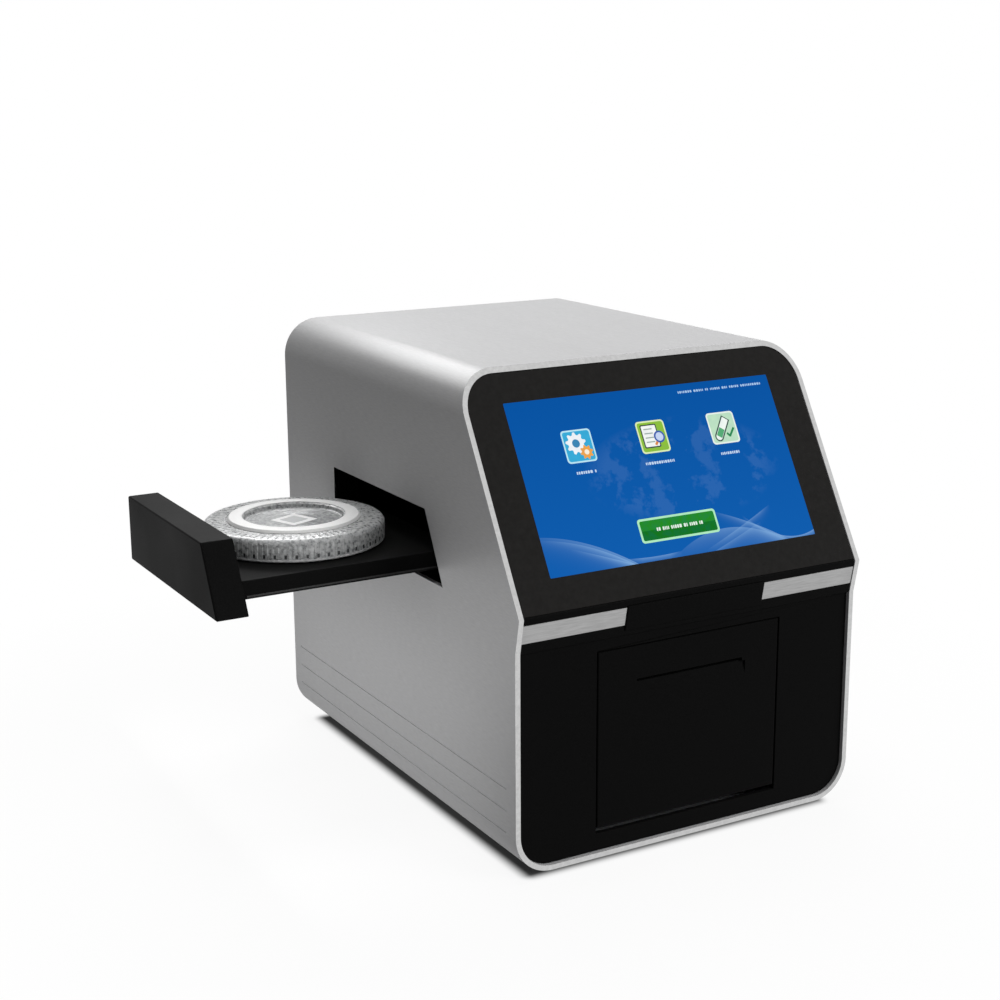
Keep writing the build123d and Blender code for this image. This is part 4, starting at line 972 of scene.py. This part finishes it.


# Studio: white floor and surround, soft lamps behind, above and in front, and two low cards.
# footprint is half the size of the ground under the case, where its contact shadow lies: partly the lamps'
# own shadow, partly painted shadow darkening the paper.
studio = {
    "floorHalf": 6.0, "floorLevel": -0.0041, "ambient": 0.10, "bounce": "#5a5a5a",
    "paper": ("#f8f8f8", "#fdfdfd"), "fleck": 25, "footprint": (0.086, 0.119, 1.0),
    "contactOut": 0.0085, "paintedShadowTone": "#707070", "shadowIn": 0.04, "shadowOut": 0.3, "nearWhite": 0.92,
}


def seenRays(tree):
    # 1 for rays that show the background itself: straight, in gloss or through clear plastic
    ray = addNode(tree, "ShaderNodeLightPath").outputs
    seen = ray["Is Camera Ray"]
    for other in ("Is Glossy Ray", "Is Transmission Ray"):
        seen = addNode(tree, "ShaderNodeMath", {0: seen, 1: ray[other]}, operation="MAXIMUM")
    return seen


def floorFinish():
    # white paper, with a painted contact shadow darkening it where the case nearly touches it
    material, tree, shader, coords, output = newMaterial("paperSweep")
    fleck = addNode(tree, "ShaderNodeTexNoise", {
        "Vector": coords, "Scale": 1 / (studio["fleck"] * mm), "Detail": 3.0,
    })
    dark, light = studio["paper"]
    tone = addNode(tree, "ShaderNodeMix", {
        "Factor": fleck, 6: linear(dark), 7: linear(light),
    }, data_type="RGBA").outputs[2]
    seen = seenRays(tree)
    # less light comes back up from the floor than the eye sees in it
    paper = addNode(tree, "ShaderNodeMix", {
        "Factor": seen, 6: linear(studio["bounce"]), 7: tone,
    }, data_type="RGBA").outputs[2]
    # how far each point lies outside the footprint
    away = addNode(tree, "ShaderNodeVectorMath", {0: coords}, operation="ABSOLUTE")
    for operation, vector in (("SUBTRACT", studio["footprint"]), ("MAXIMUM", (0, 0, 0))):
        away = addNode(tree, "ShaderNodeVectorMath", {0: away, 1: vector}, operation=operation)
    away = addNode(tree, "ShaderNodeVectorMath", {0: away}, operation="LENGTH").outputs["Value"]
    # painted shadow: close to the footprint the paper's colour fades down to the dark shadow tone
    near = addNode(tree, "ShaderNodeMapRange", {
        0: away, 1: 0.0, 2: studio["contactOut"],
    }, interpolation_type="SMOOTHSTEP")
    paper = addNode(tree, "ShaderNodeMix", {
        "Factor": near, 6: linear(studio["paintedShadowTone"]), 7: paper,
    }, data_type="RGBA").outputs[2]
    setInputs(tree, shader, {"Base Color": paper, "Roughness": 0.9, "Specular IOR Level": 0.1})
    # nearly plain white past the contact shadow, and quite white where the soft shadow has ended
    share = addNode(tree, "ShaderNodeMath", {0: near, 1: studio["nearWhite"]}, operation="MULTIPLY")
    rest = addNode(tree, "ShaderNodeMapRange", {
        0: away, 1: studio["shadowIn"], 2: studio["shadowOut"], 3: 0.0, 4: 1 - studio["nearWhite"],
    })
    share = addNode(tree, "ShaderNodeMath", {0: share, 1: rest}, operation="ADD")
    share = addNode(tree, "ShaderNodeMath", {0: seen, 1: share}, operation="MULTIPLY")
    white = addNode(tree, "ShaderNodeEmission", {"Color": linear("#ffffff"), "Strength": 1.0})
    mixed = addNode(tree, "ShaderNodeMixShader", {0: share, 1: shader, 2: white})
    # open from underneath, so the feet can be looked at
    below = addNode(tree, "ShaderNodeNewGeometry").outputs["Backfacing"]
    clear = addNode(tree, "ShaderNodeBsdfTransparent")
    mixed = addNode(tree, "ShaderNodeMixShader", {0: below, 1: mixed, 2: clear})
    setInputs(tree, output, {"Surface": mixed})
    return material


half, level = studio["floorHalf"], studio["floorLevel"]
floorMesh = bpy.data.meshes.new("floor")
floorCorners = [(sx * half, sy * half, level) for sx, sy in ((-1, -1), (1, -1), (1, 1), (-1, 1))]
floorMesh.from_pydata(floorCorners, [], [(0, 1, 2, 3)])
floorPiece = linkMesh("floor", floorMesh)
floorPiece.data.materials.append(floorFinish())

world = bpy.data.worlds.new("studio")
bpy.context.scene.world = world
world.use_nodes = True
tree = world.node_tree
tree.nodes.clear()
seen = seenRays(tree)
soft = addNode(tree, "ShaderNodeBackground", {"Color": linear("#ffffff"), "Strength": studio["ambient"]})
white = addNode(tree, "ShaderNodeBackground", {"Color": linear("#ffffff"), "Strength": 1.0})
mixed = addNode(tree, "ShaderNodeMixShader", {0: seen, 1: soft, 2: white})
addNode(tree, "ShaderNodeOutputWorld", {"Surface": mixed})


def softLamp(name, place, aim, size, power, glossy=False, diffuse=True):
    light = bpy.data.lights.new(name, "AREA")
    light.shape = "RECTANGLE"
    light.size, light.size_y = size
    light.energy = power
    lamp = bpy.data.objects.new(name, light)
    bpy.context.scene.collection.objects.link(lamp)
    lamp.location = place
    lamp.rotation_euler = (Vector(aim) - Vector(place)).to_track_quat("-Z", "Y").to_euler()
    lamp.visible_camera = False
    lamp.visible_glossy = glossy  # most leave no bright square in the glass
    lamp.visible_diffuse = diffuse


# each lamp: its place, what it looks at, its size, its power, and whether gloss and matt show it
lamps = {
    "keyBehind": ((0.45, 0.85, 1.15), (0, 0, 0.1), (1.1, 1.1), 9),
    "overhead": ((-0.12, -0.10, 1.40), (-0.12, 0, 0.15), (0.4, 0.4), 5),
    # only draws the highlight along the top bend
    "edgeAbove": ((-0.09, 0.31, 0.48), (-0.09, -0.12, 0.22), (0.30, 0.16), 2.0, True, False),
    "fillFront": ((0.75, -1.30, 0.75), (0, -0.1, 0.1), (0.8, 0.8), 15),
    # two cards: one along the foot of the left side, one for the drawer's block
    "cardLeft": ((-0.20, 0.035, 0.05), (-0.1, 0.035, 0.05), (0.30, 0.08), 0.093, True),
    "cardFront": ((-0.19, -0.15, 0.13), (-0.099, -0.03, 0.16), (0.10, 0.05), 0.02),
}
for name, look in lamps.items():
    softLamp(name, *look)

# The photograph's viewpoint, from the case's fitted edges
view = {
    "place": (-0.472175, -0.773329, 0.366981), "azimuth": -29.52, "elevation": 13.88,
    "roll": -0.329, "focalPixels": 1737.125, "imagePixels": 1000,
}


def makeCamera():
    turn, rise, roll = (math.radians(view[k]) for k in ("azimuth", "elevation", "roll"))
    back = Vector((math.sin(turn) * math.cos(rise), -math.cos(turn) * math.cos(rise), math.sin(rise)))
    right = (-back).cross(Vector((0, 0, 1))).normalized()
    up = right.cross(-back)
    tiltedRight = math.cos(roll) * right + math.sin(roll) * up
    tiltedUp = math.cos(roll) * up - math.sin(roll) * right
    optics = bpy.data.cameras.new("photoView")
    optics.sensor_width = 36.0
    optics.lens = view["focalPixels"] / view["imagePixels"] * optics.sensor_width
    camera = bpy.data.objects.new("photoView", optics)
    bpy.context.scene.collection.objects.link(camera)
    basis = Matrix((tiltedRight, tiltedUp, back)).transposed().to_4x4()
    camera.matrix_world = Matrix.Translation(view["place"]) @ basis
    bpy.context.scene.camera = camera


makeCamera()
bpy.context.scene.view_settings.view_transform = "Standard"
print("studio ready")
